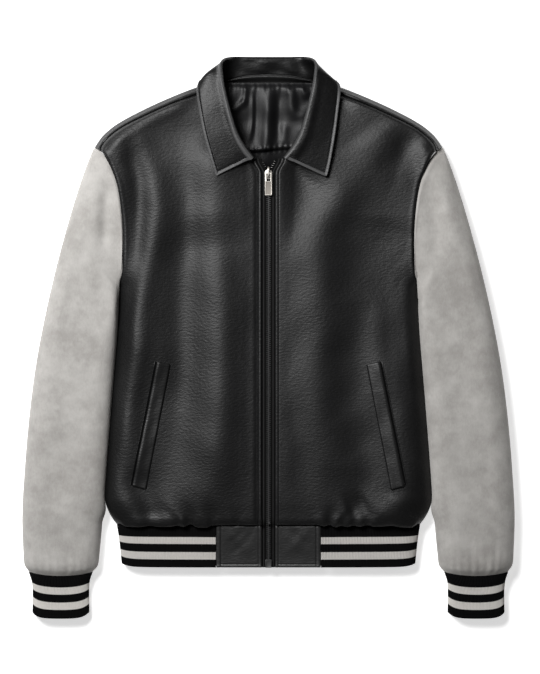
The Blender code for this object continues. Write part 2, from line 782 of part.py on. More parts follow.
def make_welt(name, side, front):
    """A pocket welt, laid on its front's own facets and moved out from them."""
    across, along = 3, 16
    surface = probe(front, ABOVE_Z)

    def place(n, m):
        u, v = n / across, m / along
        inner = blend(Vector(WELT_LOW_INNER), Vector(WELT_TOP_INNER), v)
        outer = blend(Vector(WELT_LOW_OUTER), Vector(WELT_TOP_OUTER), v)
        point = blend(inner, outer, u)
        x = side * point.x
        return x, point.y, surface(x, point.y) + WELT_CLEAR + WELT_WALL

    return sheet(name, across, along, place, WELT_WALL, leather, turned=side < 0)


# Zip.


def zip_rows():
    """Heights up the zip from the hem's end, those of the fronts' own rows among them, with the tape's z."""
    rows = []
    for m in range(6):
        at = 1 - m / 5
        rows.append((hem_y(FRONT_EDGE_X, at), hem_z(FRONT_EDGE_X, at) - TAPE_DEPTH))
    for m in range(1, ROWS + 1):
        y = blend(HEM_SEAM_Y, FRONT_NECK[0].y, row_at(m))
        rows.append((y, top_z(front_edge_x(y), y) - TAPE_DEPTH))
    return rows


def tape_z(y):
    """Height of the tape's upper face."""
    rows = zip_rows()
    for (low_y, low_z), (high_y, high_z) in zip(rows, rows[1:]):
        if y <= high_y:
            return blend(low_z, high_z, (y - low_y) / (high_y - low_y))
    return rows[-1][1]


def make_tape(name, side):
    """A zip tape under the edge of its front."""
    rows = zip_rows()

    def place(n, m):
        y, z = rows[m]
        part = front_edge_x(y) - FRONT_EDGE_X
        return side * (blend(TAPE_INNER_X, TAPE_OUTER_X, n / 2) + part), y, z

    return sheet(name, 2, len(rows) - 1, place, TAPE_WALL, tape_cloth, turned=side < 0)


def make_chain(name):
    """The closed chain between the tapes, from the box to the slider."""
    start, end = HEM_END_Y + BOX_LENGTH + SEAM_GAP, SLIDER_Y - SLIDER_HALF_LENGTH - SEAM_GAP
    between = [y for y, _ in zip_rows() if start + 1 < y < end - 1]
    rows = [start, *between, end]

    def place(n, m):
        y = rows[m]
        x = CHAIN_HALF_WIDTH * (2 * n / 2 - 1)
        return x, y, tape_z(y) + (CHAIN_THICKNESS - TAPE_WALL) / 2

    return sheet(name, 2, len(rows) - 1, place, CHAIN_THICKNESS, metal)


def make_box(name):
    """The retaining box at the zip's lower end, over the ends of both tapes."""
    z = tape_z(HEM_END_Y + BOX_LENGTH) + SEAM_GAP
    low = (-BOX_HALF_WIDTH, HEM_END_Y, z)
    return box(name, low, (BOX_HALF_WIDTH, HEM_END_Y + BOX_LENGTH, z + BOX_THICKNESS), metal, bevel=0.6)


def make_slider(name):
    """The slider: a plate over the tapes with the bridge that carries the pull."""
    low_y, high_y = SLIDER_Y - SLIDER_HALF_LENGTH, SLIDER_Y + SLIDER_HALF_LENGTH
    foot = max(tape_z(low_y), tape_z(high_y)) + SEAM_GAP
    plate_z = foot + SLIDER_PLATE
    top = plate_z + BRIDGE_RISE
    slider = box(name, (-SLIDER_HALF_WIDTH, low_y, foot), (SLIDER_HALF_WIDTH, high_y, plate_z), metal, bevel=0.7)
    bridge_low = (-BRIDGE_HALF_WIDTH, low_y + BRIDGE_INSET, foot + BRIDGE_ROOT)
    bridge = box("bridge_block", bridge_low, (BRIDGE_HALF_WIDTH, high_y - BRIDGE_INSET, top), metal)
    window_low = (-SLIDER_HALF_WIDTH, low_y + BRIDGE_INSET + BRIDGE_FOOT, plate_z)
    window_high = (SLIDER_HALF_WIDTH, high_y - BRIDGE_INSET - BRIDGE_FOOT, top - BRIDGE_WALL)
    window = box("bridge_window", window_low, window_high, metal)
    combine(slider, bridge, "UNION")
    combine(slider, window, "DIFFERENCE")
    return plate_z


def make_pull(name, plate_z):
    """The pull tab, lying along the zip, hung by its crossbar under the slider's bridge."""
    pivot_z = plate_z + PIVOT_RISE
    half, bar = PULL_THICKNESS / 2, PULL_CROSSBAR / 2
    head_y = PULL_SLOT_LENGTH + bar
    low = (-PULL_HALF_WIDTH, -PULL_LENGTH, -half)
    pull = box(name, low, (PULL_HALF_WIDTH, bar, half), metal, bevel=0.5)
    slot = box(
        "pull_slot",
        (-PULL_SLOT_HALF_WIDTH, -head_y, -PULL_THICKNESS),
        (PULL_SLOT_HALF_WIDTH, -bar, PULL_THICKNESS),
        metal,
    )
    combine(pull, slot, "DIFFERENCE")
    for obj in (pull, slot):
        obj.location = Vector((0, SLIDER_Y, pivot_z)) * MM


# Build.

for old in list(bpy.data.objects):
    bpy.data.objects.remove(old)
jacket = bpy.data.collections.new("varsity_jacket")
helpers = bpy.data.collections.new("cutters")
bpy.context.scene.collection.children.link(jacket)
bpy.context.scene.collection.children.link(helpers)

leather = material("black_leather", (0.012, 0.012, 0.013), 0.42)
suede = material("grey_suede", (0.36, 0.34, 0.32), 0.95)
knit = material("black_rib_knit", (0.015, 0.015, 0.017), 0.9)
satin = material("black_satin", (0.02, 0.02, 0.022), 0.3)
tape_cloth = material("zip_tape", (0.015, 0.015, 0.015), 0.8)
metal = material("nickel", (0.72, 0.7, 0.66), 0.3, 1.0)

back_panel = make_back("back")
for side_name, sign in (("left", 1), ("right", -1)):
    panel = make_front(f"front_{side_name}", sign)
    make_welt(f"pocket_welt_{side_name}", sign, panel)
    make_sleeve(f"sleeve_{side_name}", sign)
    make_cuff(f"cuff_{side_name}", sign)
    make_hem_tab(f"hem_tab_{side_name}", sign)
    make_tape(f"zip_tape_{side_name}", sign)
make_hem_knit("hem_knit")
make_collar("collar")
make_facing("back_neck_facing", back_panel)
make_lining("back_lining", back_panel)
make_chain("zip_chain")
make_box("zip_box")
make_pull("zip_pull", make_slider("zip_slider"))
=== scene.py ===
import math
import bpy
import numpy as np
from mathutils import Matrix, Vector


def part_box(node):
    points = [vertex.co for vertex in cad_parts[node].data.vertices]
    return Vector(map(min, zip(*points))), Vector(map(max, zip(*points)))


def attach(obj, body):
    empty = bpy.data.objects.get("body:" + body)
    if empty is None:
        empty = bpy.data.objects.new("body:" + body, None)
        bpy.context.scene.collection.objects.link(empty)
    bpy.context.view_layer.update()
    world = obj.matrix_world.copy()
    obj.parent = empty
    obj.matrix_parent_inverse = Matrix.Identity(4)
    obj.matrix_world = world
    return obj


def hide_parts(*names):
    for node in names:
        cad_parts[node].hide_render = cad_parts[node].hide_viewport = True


# A varsity jacket laid flat on its back. Sizes are in millimetres up to the point where a mesh is made.
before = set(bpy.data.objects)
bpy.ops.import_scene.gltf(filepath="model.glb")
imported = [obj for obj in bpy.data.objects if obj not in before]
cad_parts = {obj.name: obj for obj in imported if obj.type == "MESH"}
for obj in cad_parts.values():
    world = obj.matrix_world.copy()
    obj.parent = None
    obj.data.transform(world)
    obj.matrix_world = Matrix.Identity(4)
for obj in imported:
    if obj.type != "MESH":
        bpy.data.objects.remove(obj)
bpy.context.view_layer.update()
mm = 0.001


# numbers and plan curves

def ease(t):
    t = np.clip(t, 0, 1)
    return t * t * (3 - 2 * t)


def quarter(t):  # height of a quarter circle
    t = np.clip(t, 0, 1)
    return np.sqrt(1 - (1 - t) ** 2)


def blend(a, b, t):
    return a + (b - a) * t


def bump(away, width):
    return np.exp(-(away / width) ** 2)


def fadeIn(away, reach):  # from 0 to 1 over a length that starts some way in
    start, length = reach
    return ease((away - start) / length)


def ridges(away, table):  # rows of place, height and half width
    return sum(height * bump(away - place, width) for place, height, width in table)


def readTable(rows, at):  # a smooth curve through rows whose first number is the place along
    rows = np.array(rows, float)
    keys, values = rows[:, 0], rows[:, 1:]
    at = np.clip(np.asarray(at, float), keys[0], keys[-1])
    i = np.clip(np.searchsorted(keys, at), 1, len(keys) - 1)
    slopes = np.empty_like(values)
    slopes[1:-1] = (values[2:] - values[:-2]) / (keys[2:] - keys[:-2])[:, None]
    slopes[0] = (values[1] - values[0]) / (keys[1] - keys[0])
    slopes[-1] = (values[-1] - values[-2]) / (keys[-1] - keys[-2])
    span = (keys[i] - keys[i - 1])[..., None]
    t = (at[..., None] - keys[i - 1][..., None]) / span
    bend = slopes[i - 1] * span * t * (1 - t) ** 2 - slopes[i] * span * t * t * (1 - t)
    return blend(values[i - 1], values[i], t * t * (3 - 2 * t)) + bend


def stepsAlong(points):
    points = np.array(points, float)
    steps = np.concatenate([[0], np.cumsum(np.linalg.norm(np.diff(points, axis=0), axis=1))])
    return steps / steps[-1]


def lineThrough(points):  # from 0..1 to a point on a smooth line
    rows = np.column_stack([stepsAlong(points), np.array(points, float)])
    return lambda share: readTable(rows, share)


def nearest(x, y, line):  # distance to a plan line and the share of the way along it
    line = np.asarray(line, float)
    steps = stepsAlong(line)
    best = np.full(np.shape(x), 1e9)
    where = np.zeros(np.shape(x))
    for n in range(len(line) - 1):
        along = line[n + 1] - line[n]
        t = np.clip(((x - line[n, 0]) * along[0] + (y - line[n, 1]) * along[1]) / (along @ along), 0, 1)
        away = np.hypot(x - line[n, 0] - along[0] * t, y - line[n, 1] - along[1] * t)
        closer = away < best
        best = np.where(closer, away, best)
        where = np.where(closer, blend(steps[n], steps[n + 1], t), where)
    return best, where


def strokes(x, y, table):  # soft ridges and hollows, each drawn along a line: points, half width, height
    rise = np.zeros(np.shape(x))
    for points, width, height in table:
        away, along = nearest(x, y, lineThrough(points)(np.linspace(0, 1, 12)))
        rise += height * bump(away, width) * ease(along * 3) * ease((1 - along) * 3)
    return rise


def unevenness(x, y, size, seed):  # slow irregular waves between about -1 and 1
    total = np.zeros(np.shape(x))
    for k in range(5):
        turn, wave = seed * 1.7 + k * 2.4, size * (0.7 + 0.23 * k)
        total += np.sin((x * math.cos(turn) + y * math.sin(turn)) * 2 * math.pi / wave + seed * 3.1 + k * 1.3)
    return total / 3


def lengthOf(points):
    return np.linalg.norm(np.diff(np.asarray(points, float), axis=0), axis=1).sum()


def evenly(points, count):  # the same line in equal steps
    steps = stepsAlong(points)
    share = np.linspace(0, 1, count)
    return np.column_stack([np.interp(share, steps, points[:, c]) for c in range(points.shape[1])])


def closing(count, power):  # 0..1 in steps that grow smaller towards the end, without the start
    return 1 - (1 - np.linspace(0, 1, count)[1:]) ** power


def mapOver(across, along):  # the map's two numbers at each point of a sheet
    return np.stack(np.broadcast_arrays(across[None, :], along[:, None]), -1)


def withMirrored(half):  # a half that starts on the middle line, and its mirror image before it
    return np.concatenate([half[:, :0:-1] * np.array([-1, 1, 1]), half], 1)


def unit(vectors):
    return vectors / np.linalg.norm(vectors, axis=-1, keepdims=True)


def dot(a, b):
    return (a * b).sum(-1, keepdims=True)


def normalsOf(points):
    normals = np.cross(np.gradient(points, axis=1), np.gradient(points, axis=0))
    return normals / np.maximum(np.linalg.norm(normals, axis=2, keepdims=True), 1e-9)


# shader maths

class Value:  # one socket, with arithmetic that adds Math nodes
    def __init__(self, finish, socket):
        self.finish, self.socket = finish, socket

    def maths(self, operation, a, b):
        return self.finish.node("ShaderNodeMath", {"operation": operation}, {0: a, 1: b})


for sign, operation in (("add", "ADD"), ("sub", "SUBTRACT"), ("mul", "MULTIPLY"), ("truediv", "DIVIDE")):
    setattr(Value, f"__{sign}__", lambda self, other, kind=operation: self.maths(kind, self, other))
    setattr(Value, f"__r{sign}__", lambda self, other, kind=operation: self.maths(kind, other, self))


class Finish:
    def __init__(self, name):
        self.material = bpy.data.materials.new(name)
        self.material.use_nodes = True
        self.tree = self.material.node_tree
        self.shader = self.tree.nodes["Principled BSDF"]

    def node(self, kind, settings=None, inputs=None, out=0):
        made = self.tree.nodes.new(kind)
        for key, setting in (settings or {}).items():
            if key == "stops":
                ramp = made.color_ramp
                while len(ramp.elements) < len(setting):
                    ramp.elements.new(0.5)
                for element, (place, colour) in zip(ramp.elements, setting):
                    element.position = place
                    element.color = (*colour, 1) if len(colour) == 3 else colour
            else:
                setattr(made, key, setting)
        for key, value in (inputs or {}).items():
            self.feed(made.inputs[key], value)
        return Value(self, made.outputs[out])

    def feed(self, socket, value):
        if isinstance(value, Value):
            self.tree.links.new(value.socket, socket)
        elif isinstance(value, tuple) and socket.type == "RGBA":
            socket.default_value = (*value, 1)
        else:
            socket.default_value = value

    def set(self, **sockets):  # sockets of the shader itself, with _ for a space
        for key, value in sockets.items():
            self.feed(self.shader.inputs[key.replace("_", " ")], value)

    def place(self):
        return self.node("ShaderNodeTexCoord", out="Object")

    def mapParts(self):  # the two numbers of the piece's map
        uv = self.node("ShaderNodeUVMap", {"uv_map": "UVMap"})
        first = self.node("ShaderNodeSeparateXYZ", None, {0: uv})
        return first, Value(self, first.socket.node.outputs[1])

    def zigzag(self, value):  # up to a half and down again
        return self.node("ShaderNodeMath", {"operation": "PINGPONG"}, {0: value, 1: 0.5})

    def noise(self, where, scale, detail=2.0, roughness=0.5):
        return self.node("ShaderNodeTexNoise", None,
                         {"Vector": where, "Scale": scale, "Detail": detail, "Roughness": roughness})

    def cells(self, where, scale):
        return self.node("ShaderNodeTexVoronoi", None, {"Vector": where, "Scale": scale})

    def clamped(self, value, low, high):  # 0 at low to 1 at high
        return self.node("ShaderNodeMapRange", {"interpolation_type": "SMOOTHSTEP"},
                         {0: value, 1: low, 2: high, 3: 0.0, 4: 1.0})

    def mix(self, share, a, b):
        return self.node("ShaderNodeMix", {"data_type": "RGBA"}, {0: share, 6: a, 7: b}, out=2)

    def stretch(self, where, scale):
        return self.node("ShaderNodeMapping", None, {"Vector": where, "Scale": scale})

    def warped(self, where, scale, reach):  # the place moved about by soft noise
        drift = self.node("ShaderNodeTexNoise", None, {"Vector": where, "Scale": scale, "Detail": 1.0}, out=1)
        drift = self.node("ShaderNodeVectorMath", {"operation": "SUBTRACT"}, {0: drift, 1: (0.5, 0.5, 0.5)})
        return self.node("ShaderNodeVectorMath", {"operation": "MULTIPLY_ADD"},
                         {0: drift, 1: (2 * reach, 2 * reach, 2 * reach), 2: where})

    def relief(self, height, depth, strength=1.0):
        self.set(Normal=self.node("ShaderNodeBump", None,
                                  {"Height": height, "Distance": depth, "Strength": strength}))


leatherSettings = {
    # colour and a random paler tone; the last setting is the colour of a painted highlight, if the piece has
    # one
    "colour": (0.0022, 0.0022, 0.0023), "worn": (0.0058, 0.0058, 0.006), "rubbed": None,
    "rough": 0.48, "gloss": 0.37, "pebbles": 950, "wrinkles": 400, "grainDepth": 0.0003,
}


def makeLeather(name, **changed):
    settings = {**leatherSettings, **changed}
    finish = Finish(name)
    where = finish.place()
    broad = finish.noise(where, 9, 3)
    patches = finish.noise(where, 45, 2)
    bent = finish.warped(where, 90, 0.0012)
    wrinkles = finish.noise(finish.stretch(bent, (0.5, 1.0, 1.0)), settings["wrinkles"], 1, 0.45)
    pebbles = finish.cells(finish.stretch(bent, (0.7, 1.15, 1.0)), settings["pebbles"])
    fine = finish.noise(where, 2600, 1)
    grain = wrinkles * 1.3 - pebbles * 0.35
    worn = finish.clamped(broad * 0.6 + patches * 0.3 + wrinkles * 0.3, 0.45, 0.85)
    colour = finish.mix(worn, settings["colour"], settings["worn"])
    if settings["rubbed"]:  # painted highlight: paler where the map's first number says so
        share = finish.mapParts()[0] * (0.7 + 0.6 * wrinkles)
        colour = finish.mix(share, colour, settings["rubbed"])
    finish.set(Base_Color=colour, Roughness=settings["rough"] + 0.05 * fine + 0.12 * (broad - 0.5),
               Specular_IOR_Level=settings["gloss"])
    finish.relief(grain + fine * 0.04, settings["grainDepth"])
    return finish.material


suedeSettings = {"dark": (0.29, 0.277, 0.262), "light": (0.46, 0.446, 0.426)}


def makeSuede(name, settings):
    finish = Finish(name)
    where = finish.place()
    clouds = finish.noise(where, 17, 4, 0.6)
    patches = finish.noise(where, 55, 4, 0.6)
    nap = finish.noise(finish.stretch(where, (1.0, 0.45, 1.0)), 420, 3, 0.7)
    fuzz = finish.noise(where, 2300, 2, 0.7)
    tone = finish.clamped(clouds * 0.95 + patches * 0.55 + nap * 0.35 + fuzz * 0.35, 0.75, 1.45)
    finish.set(Base_Color=finish.mix(tone, settings["dark"], settings["light"]),
               Roughness=0.96, Specular_IOR_Level=0.15, Sheen_Weight=0.25, Sheen_Roughness=0.6,
               Sheen_Tint=(0.9, 0.88, 0.85))
    finish.relief(nap * 0.5 + fuzz * 0.6 + patches * 0.4, 0.0005)
    return finish.material


knitSettings = {"black": (0.0018, 0.0018, 0.002), "grey": (0.66, 0.635, 0.605), "courses": 1.5, "edge": 0.003}
# the cuffs' knit with a paler grey, painted light to make up for the shade on their tilted faces
paintedLightCuffKnitSettings = {**knitSettings, "grey": (0.76, 0.735, 0.7)}


def makeKnit(name, stripes, depth, settings):  # stripes: places of the grey bands, as shares of the depth
    finish = Finish(name)
    rib, down = finish.mapParts()
    fuzz = finish.noise(finish.place(), 1500, 2, 0.7)
    # each course of loops is a small arch across a rib, so a band's edge is a fine zigzag
    arch = finish.zigzag(rib)
    course = down * (depth / settings["courses"]) + arch * 0.9
    shifted = down + arch * (0.25 * settings["courses"] / depth)

    def past(place):  # 1 below a place on the knit
        return finish.clamped(shifted, place - settings["edge"], place + settings["edge"])

    first, second = (past(start) - past(end) for start, end in stripes)
    loops = finish.zigzag(course)
    # painted shade in the hollows between the courses of loops, and a random tone from the fuzz
    shade = 0.75 + 0.35 * loops + 0.25 * (fuzz - 0.5)
    colour = finish.mix(first + second, settings["black"], settings["grey"])
    dark = finish.node("ShaderNodeVectorMath", {"operation": "SCALE"}, {0: colour, 3: shade})
    finish.set(Base_Color=dark, Roughness=0.92, Specular_IOR_Level=0.12)
    finish.relief(loops + fuzz * 0.5, 0.0005)
    return finish.material


def makeSatin(name, gloss=0.24):
    finish = Finish(name)
    where = finish.place()
    weave = finish.noise(finish.stretch(where, (6.0, 1.0, 1.0)), 700, 2)
    cloud = finish.noise(where, 30, 3)
    finish.set(Base_Color=finish.mix(cloud, (0.003, 0.003, 0.0033), (0.006, 0.006, 0.0065)),
               Roughness=0.4 + 0.08 * weave, Specular_IOR_Level=gloss)
    finish.relief(weave + cloud * 0.5, 0.0001)
    return finish.material


tapeSettings = {"row": 0.8, "cord": 1.1, "stripeFrom": (4.2, 4.7), "stripeTo": (6.0, 6.5)}


def makeTape(name):  # the map runs across from the inner edge and along, in mm
    finish = Finish(name)
    across, along = finish.mapParts()
    rows = finish.zigzag(along / tapeSettings["row"] + across / tapeSettings["cord"])
    cords = finish.zigzag(across / tapeSettings["cord"])
    stripe = finish.clamped(across, *tapeSettings["stripeFrom"])
    stripe = stripe - finish.clamped(across, *tapeSettings["stripeTo"])
    dark = finish.mix(rows, (0.0012, 0.0012, 0.0012), (0.0035, 0.0035, 0.0035))
    light = finish.mix(rows, (0.012, 0.012, 0.012), (0.03, 0.03, 0.03))
    finish.set(Base_Color=finish.mix(stripe, dark, light), Roughness=0.8, Specular_IOR_Level=0.12)
    finish.relief(rows + cords, 0.0003)
    return finish.material


def makeThread(name, colour):
    finish = Finish(name)
    twist = finish.noise(finish.place(), 3500, 1)
    finish.set(Base_Color=finish.mix(twist, tuple(0.7 * c for c in colour), colour),
               Roughness=0.55 + 0.2 * twist)
    finish.relief(twist, 0.0001)
    return finish.material


def makeMetal(name, colour, rough, metallic=1.0):
    finish = Finish(name)
    where = finish.place()
    brushed = finish.noise(finish.stretch(where, (1.0, 14.0, 1.0)), 900, 3)
    smears = finish.noise(where, 260, 3)
    finish.set(Base_Color=finish.mix(smears, tuple(0.88 * c for c in colour), colour),
               Roughness=rough + 0.12 * brushed + 0.1 * (smears - 0.5), Metallic=metallic)
    finish.relief(brushed * 0.5 + smears, 0.00003)
    return finish.material


leather = makeLeather("blackLeather")
# collar leather, with a paler colour painted along the roll and the rim as a highlight
collarLeather = makeLeather("collarLeather", grainDepth=0.0002, gloss=0.2, rough=0.36,
                            rubbed=(0.085, 0.085, 0.086))
standLeather = makeLeather("standLeather", grainDepth=0.00015, gloss=0.2, rough=0.38)
facingLeather = makeLeather("facingLeather", grainDepth=0.00015, gloss=0.45, rough=0.4)
# near-black, almost glossless leather for the strips of painted shade in the pocket mouths
paintedShadeCloth = makeLeather("paintedShadeCloth", grainDepth=0.0002, gloss=0.03, rough=0.7,
                          worn=(0.0025, 0.0025, 0.0026))
trimLeather = makeLeather("trimLeather", grainDepth=0.0002, gloss=0.45, rough=0.44)
tabLeather = makeLeather("tabLeather", gloss=0.85, rough=0.5, colour=(0.005, 0.005, 0.005),
                         worn=(0.011, 0.011, 0.0112))
suede = makeSuede("greySuede", suedeSettings)
suedeBack = makeSuede("suedeBack", {"dark": (0.2, 0.19, 0.18), "light": (0.3, 0.29, 0.28)})
satin = makeSatin("blackSatin")
# a less glossy copy of the satin, as painted shade on the lining below its seam
shadedSatin = makeSatin("shadedSatin", gloss=0.07)
tape = makeTape("wovenTape")
thread = makeThread("blackThread", (0.016, 0.016, 0.017))
teethFinish = makeMetal("blackTeeth", (0.075, 0.075, 0.076), 0.4, metallic=0.6)
openTeethFinish = makeMetal("openTeeth", (0.3, 0.29, 0.28), 0.3, metallic=0.8)
nickel = makeMetal("satinNickel", (0.5, 0.475, 0.435), 0.45)
pullPanel = makeMetal("brushedPanel", (0.25, 0.228, 0.203), 0.6, metallic=0.5)
print("finishes made")


# making pieces

def objectMode():
    bpy.ops.object.mode_set(mode="OBJECT")


def clearSelection():
    if bpy.context.object and bpy.context.object.mode != "OBJECT":
        objectMode()
    bpy.ops.object.select_all(action="DESELECT")


def only(piece):
    clearSelection()
    piece.select_set(True)
    bpy.context.view_layer.objects.active = piece


def applyAll(piece):
    only(piece)
    for step in list(piece.modifiers):
        bpy.ops.object.modifier_apply(modifier=step.name)


def settle(piece):  # the object back at the origin, with its place in its mesh
    only(piece)
    bpy.ops.object.transform_apply(location=True, rotation=True, scale=True)


def sided(node, side):  # a node's full name: the wearer's left is at +1
    return [node + ("_left" if side > 0 else "_right")]


def register(piece, body="jacket", replaces=()):
    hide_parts(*replaces)
    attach(piece, body)


def makeSheet(name, points, wall, finishes, uv=None, turned=False, closed=False):
    rows, columns = points.shape[:2]
    clearSelection()
    bpy.ops.mesh.primitive_grid_add(x_subdivisions=columns - 1, y_subdivisions=rows - 1, size=1)
    piece = bpy.context.object
    piece.name = piece.data.name = name
    mesh = piece.data
    flat = np.empty(len(mesh.vertices) * 3)
    mesh.vertices.foreach_get("co", flat)
    flat = flat.reshape(-1, 3)
    column = np.rint((flat[:, 0] + 0.5) * (columns - 1)).astype(int)
    row = np.rint((flat[:, 1] + 0.5) * (rows - 1)).astype(int)
    mesh.vertices.foreach_set("co", (points[row, column] * mm).ravel())
    if uv is not None:
        corners = np.empty(len(mesh.loops), int)
        mesh.loops.foreach_get("vertex_index", corners)
        mesh.uv_layers[0].data.foreach_set("uv", uv[row[corners], column[corners]].ravel())
    for finish in finishes:
        mesh.materials.append(finish)
    bpy.ops.object.mode_set(mode="EDIT")
    bpy.ops.mesh.select_all(action="SELECT")
    if closed:
        bpy.ops.mesh.remove_doubles(threshold=1e-6)
    if turned:
        bpy.ops.mesh.flip_normals()
    objectMode()
    step = piece.modifiers.new("wall", "SOLIDIFY")
    step.thickness = wall * mm
    step.offset = -1
    step.material_offset = len(finishes) - 1
    applyAll(piece)
    bpy.ops.object.shade_smooth_by_angle(angle=math.radians(60))
    return piece


stitch = {"length": 2.5, "gap": 0.8, "thick": 0.38}


def repeated(piece, step):  # an array modifier with a constant step along one way
    repeat = piece.modifiers.new("repeat", "ARRAY")
    repeat.use_relative_offset, repeat.use_constant_offset = False, True
    repeat.constant_offset_displace = np.array(step) * mm
    return repeat


def sewAlong(name, path):  # a row of stitches on a line
    path = evenly(np.asarray(path, float), max(int(lengthOf(path) / 2), 8))
    length, gap, thick = stitch["length"], stitch["gap"], stitch["thick"]
    line = bpy.data.curves.new(name + "Line", "CURVE")
    line.dimensions = "3D"
    spline = line.splines.new("POLY")
    spline.points.add(len(path) - 1)
    spline.points.foreach_set("co", np.column_stack([path * mm, np.ones(len(path))]).ravel())
    guide = bpy.data.objects.new(name + "Line", line)
    bpy.context.scene.collection.objects.link(guide)
    clearSelection()
    bpy.ops.mesh.primitive_uv_sphere_add(segments=6, ring_count=4, radius=0.5, rotation=(0, math.pi / 2, 0))
    piece = bpy.context.object
    piece.name = piece.data.name = name
    piece.scale = (thick * mm, thick * 1.5 * mm, length * mm)
    piece.location = (length / 2 * mm, 0, 0)
    settle(piece)
    repeat = repeated(piece, (length + gap, 0, 0))
    repeat.fit_type, repeat.fit_length = "FIT_LENGTH", (lengthOf(path) - gap) * mm
    follow = piece.modifiers.new("follow", "CURVE")
    follow.object = guide
    applyAll(piece)
    bpy.ops.object.shade_smooth()
    bpy.data.objects.remove(guide)
    piece.data.materials.append(thread)
    register(piece)


# the body's form

body = {
    "hemSeamY": -260.0, "underarmY": 68.5, "frontEdgeX": 9.4, "partingY": 226.0, "sideZ": 16.0,
    "sideRoll": 42.0, "floorRoll": 14.0, "neckAt": 0.5486, "underarmAt": 0.5893, "seamGap": 0.5,
    "sideGap": 0.8,
    "shoulderRise": 6.5, "shoulderWidth": 14.0, "shoulderFromX": 96.0, "neckRise": 3.2,
    # y, half width, height
    "rows": [(-260, 211.5, 41.0), (-252, 217.5, 41.5), (-243, 222.5, 42.0), (-228, 227.4, 43.0),
             (-200, 226.6, 43.5), (-120, 220.6, 43.5), (-50, 215.0, 42.5), (10, 210.2, 41.5),
             (68.5, 207.8, 41.0), (170, 207.8, 40.5), (265, 207.8, 38.5), (370, 207.8, 37.0)],
    "armhole": [(242.3, 263.8), (232, 258), (223.5, 246.5), (215.5, 230.5), (208, 208), (202.7, 173),
                (200.7, 138), (202, 101), (207.8, 68.5)],
    "frontNeck": [(17.5, 246), (28, 249.5), (40.5, 259.5), (52, 274), (60.5, 291), (68, 310), (75, 327),
                  (81, 343.5)],
    "shoulderSeam": [(81, 343.5), (100, 336.3), (133, 322.7), (162.5, 309.5), (201, 290.5), (219.5, 277),
                     (229.5, 265.5), (232, 258)],
    "backNeck": [(0, 367.5), (30, 365.6), (46, 362.2), (60, 358.4), (70, 355.6), (79, 354)],
    "shoulderRidge": [(79, 354), (101, 347.6), (138, 333), (174.5, 316.3), (210.5, 296.8), (230.5, 280.5),
                      (242.3, 263.8)],
    "neckFall": [(67, 366), (45, 379), (0, 384)],
    "capFall": [(237, 103), (263, 159), (269, 211), (259, 246)],
}
armhole, frontNeck, backNeck, shoulderSeam, shoulderRidge = (
    lineThrough(body[name]) for name in ("armhole", "frontNeck", "backNeck", "shoulderSeam", "shoulderRidge"))
seamShare = stepsAlong(body["armhole"])[1]
sideY = blend(body["hemSeamY"], body["underarmY"], np.linspace(0, 1, 41) ** 1.5)
fallLine = np.concatenate([np.column_stack([readTable(body["rows"], sideY)[:, 0], sideY]), body["capFall"],
                           shoulderRidge(np.linspace(1, 0, 17)), body["neckFall"]])


def toFall(x, y):  # distance to the line down to which the upper side curves
    return nearest(np.abs(x), y, fallLine)[0]


def bodyTop(x, y, drop=0.0):  # height of the body's upper side, without folds
    height = readTable(body["rows"], y)[..., 1]
    return body["sideZ"] + (height - drop - body["sideZ"]) * quarter(toFall(x, y) / body["sideRoll"])


def shoulderLift(x, y):  # the shoulder stands up along its seam
    seam = nearest(np.abs(x), y, shoulderSeam(np.linspace(0, 1, 24)))[0]
    calm = ease(toFall(x, y) / 9) * ease((np.abs(x) - body["shoulderFromX"]) / 30)
    return body["shoulderRise"] * bump(seam, body["shoulderWidth"]) * calm


def bodyUnder(x, y):  # height of its underside, which leaves the floor towards the neck
    lift = body["neckRise"] * ease((y - 296) / 48)
    return lift + (body["sideZ"] - lift) * (1 - quarter(toFall(x, y) / body["floorRoll"]))


def frontEdgeX(y):
    top = body["frontNeck"][0]
    return blend(body["frontEdgeX"], top[0], ease((y - body["partingY"]) / (top[1] - body["partingY"])))


def bodySide(v, armEnd=0.0):  # side seam, then armhole
    y = blend(body["hemSeamY"], body["underarmY"], np.clip(v / body["underarmAt"], 0, 1))
    side = np.stack([readTable(body["rows"], y)[..., 0], y], -1)
    arm = armhole(blend(1, armEnd, np.clip((v - body["underarmAt"]) / (1 - body["underarmAt"]), 0, 1)))
    return np.where((v <= body["underarmAt"])[..., None], side, arm)


def patch(left, right, low, high, u, v):  # the sheet between four plan lines
    u, v = u[None, :, None], v[:, None, None]
    a, b = left(v[:, 0, 0])[:, None], right(v[:, 0, 0])[:, None]
    c, d = low(u[0, :, 0])[None], high(u[0, :, 0])[None]
    corners = blend(blend(a[0, 0], b[0, 0], u), blend(a[-1, 0], b[-1, 0], u), v)
    return blend(a, b, u) + blend(c, d, v) - corners


def topLine(neck, shoulder):
    def high(u):
        onNeck = (u <= body["neckAt"])[:, None]
        return np.where(onNeck, neck(np.clip(u / body["neckAt"], 0, 1)),
                        shoulder(np.clip((u - body["neckAt"]) / (1 - body["neckAt"]), 0, 1)))
    return high


# fronts

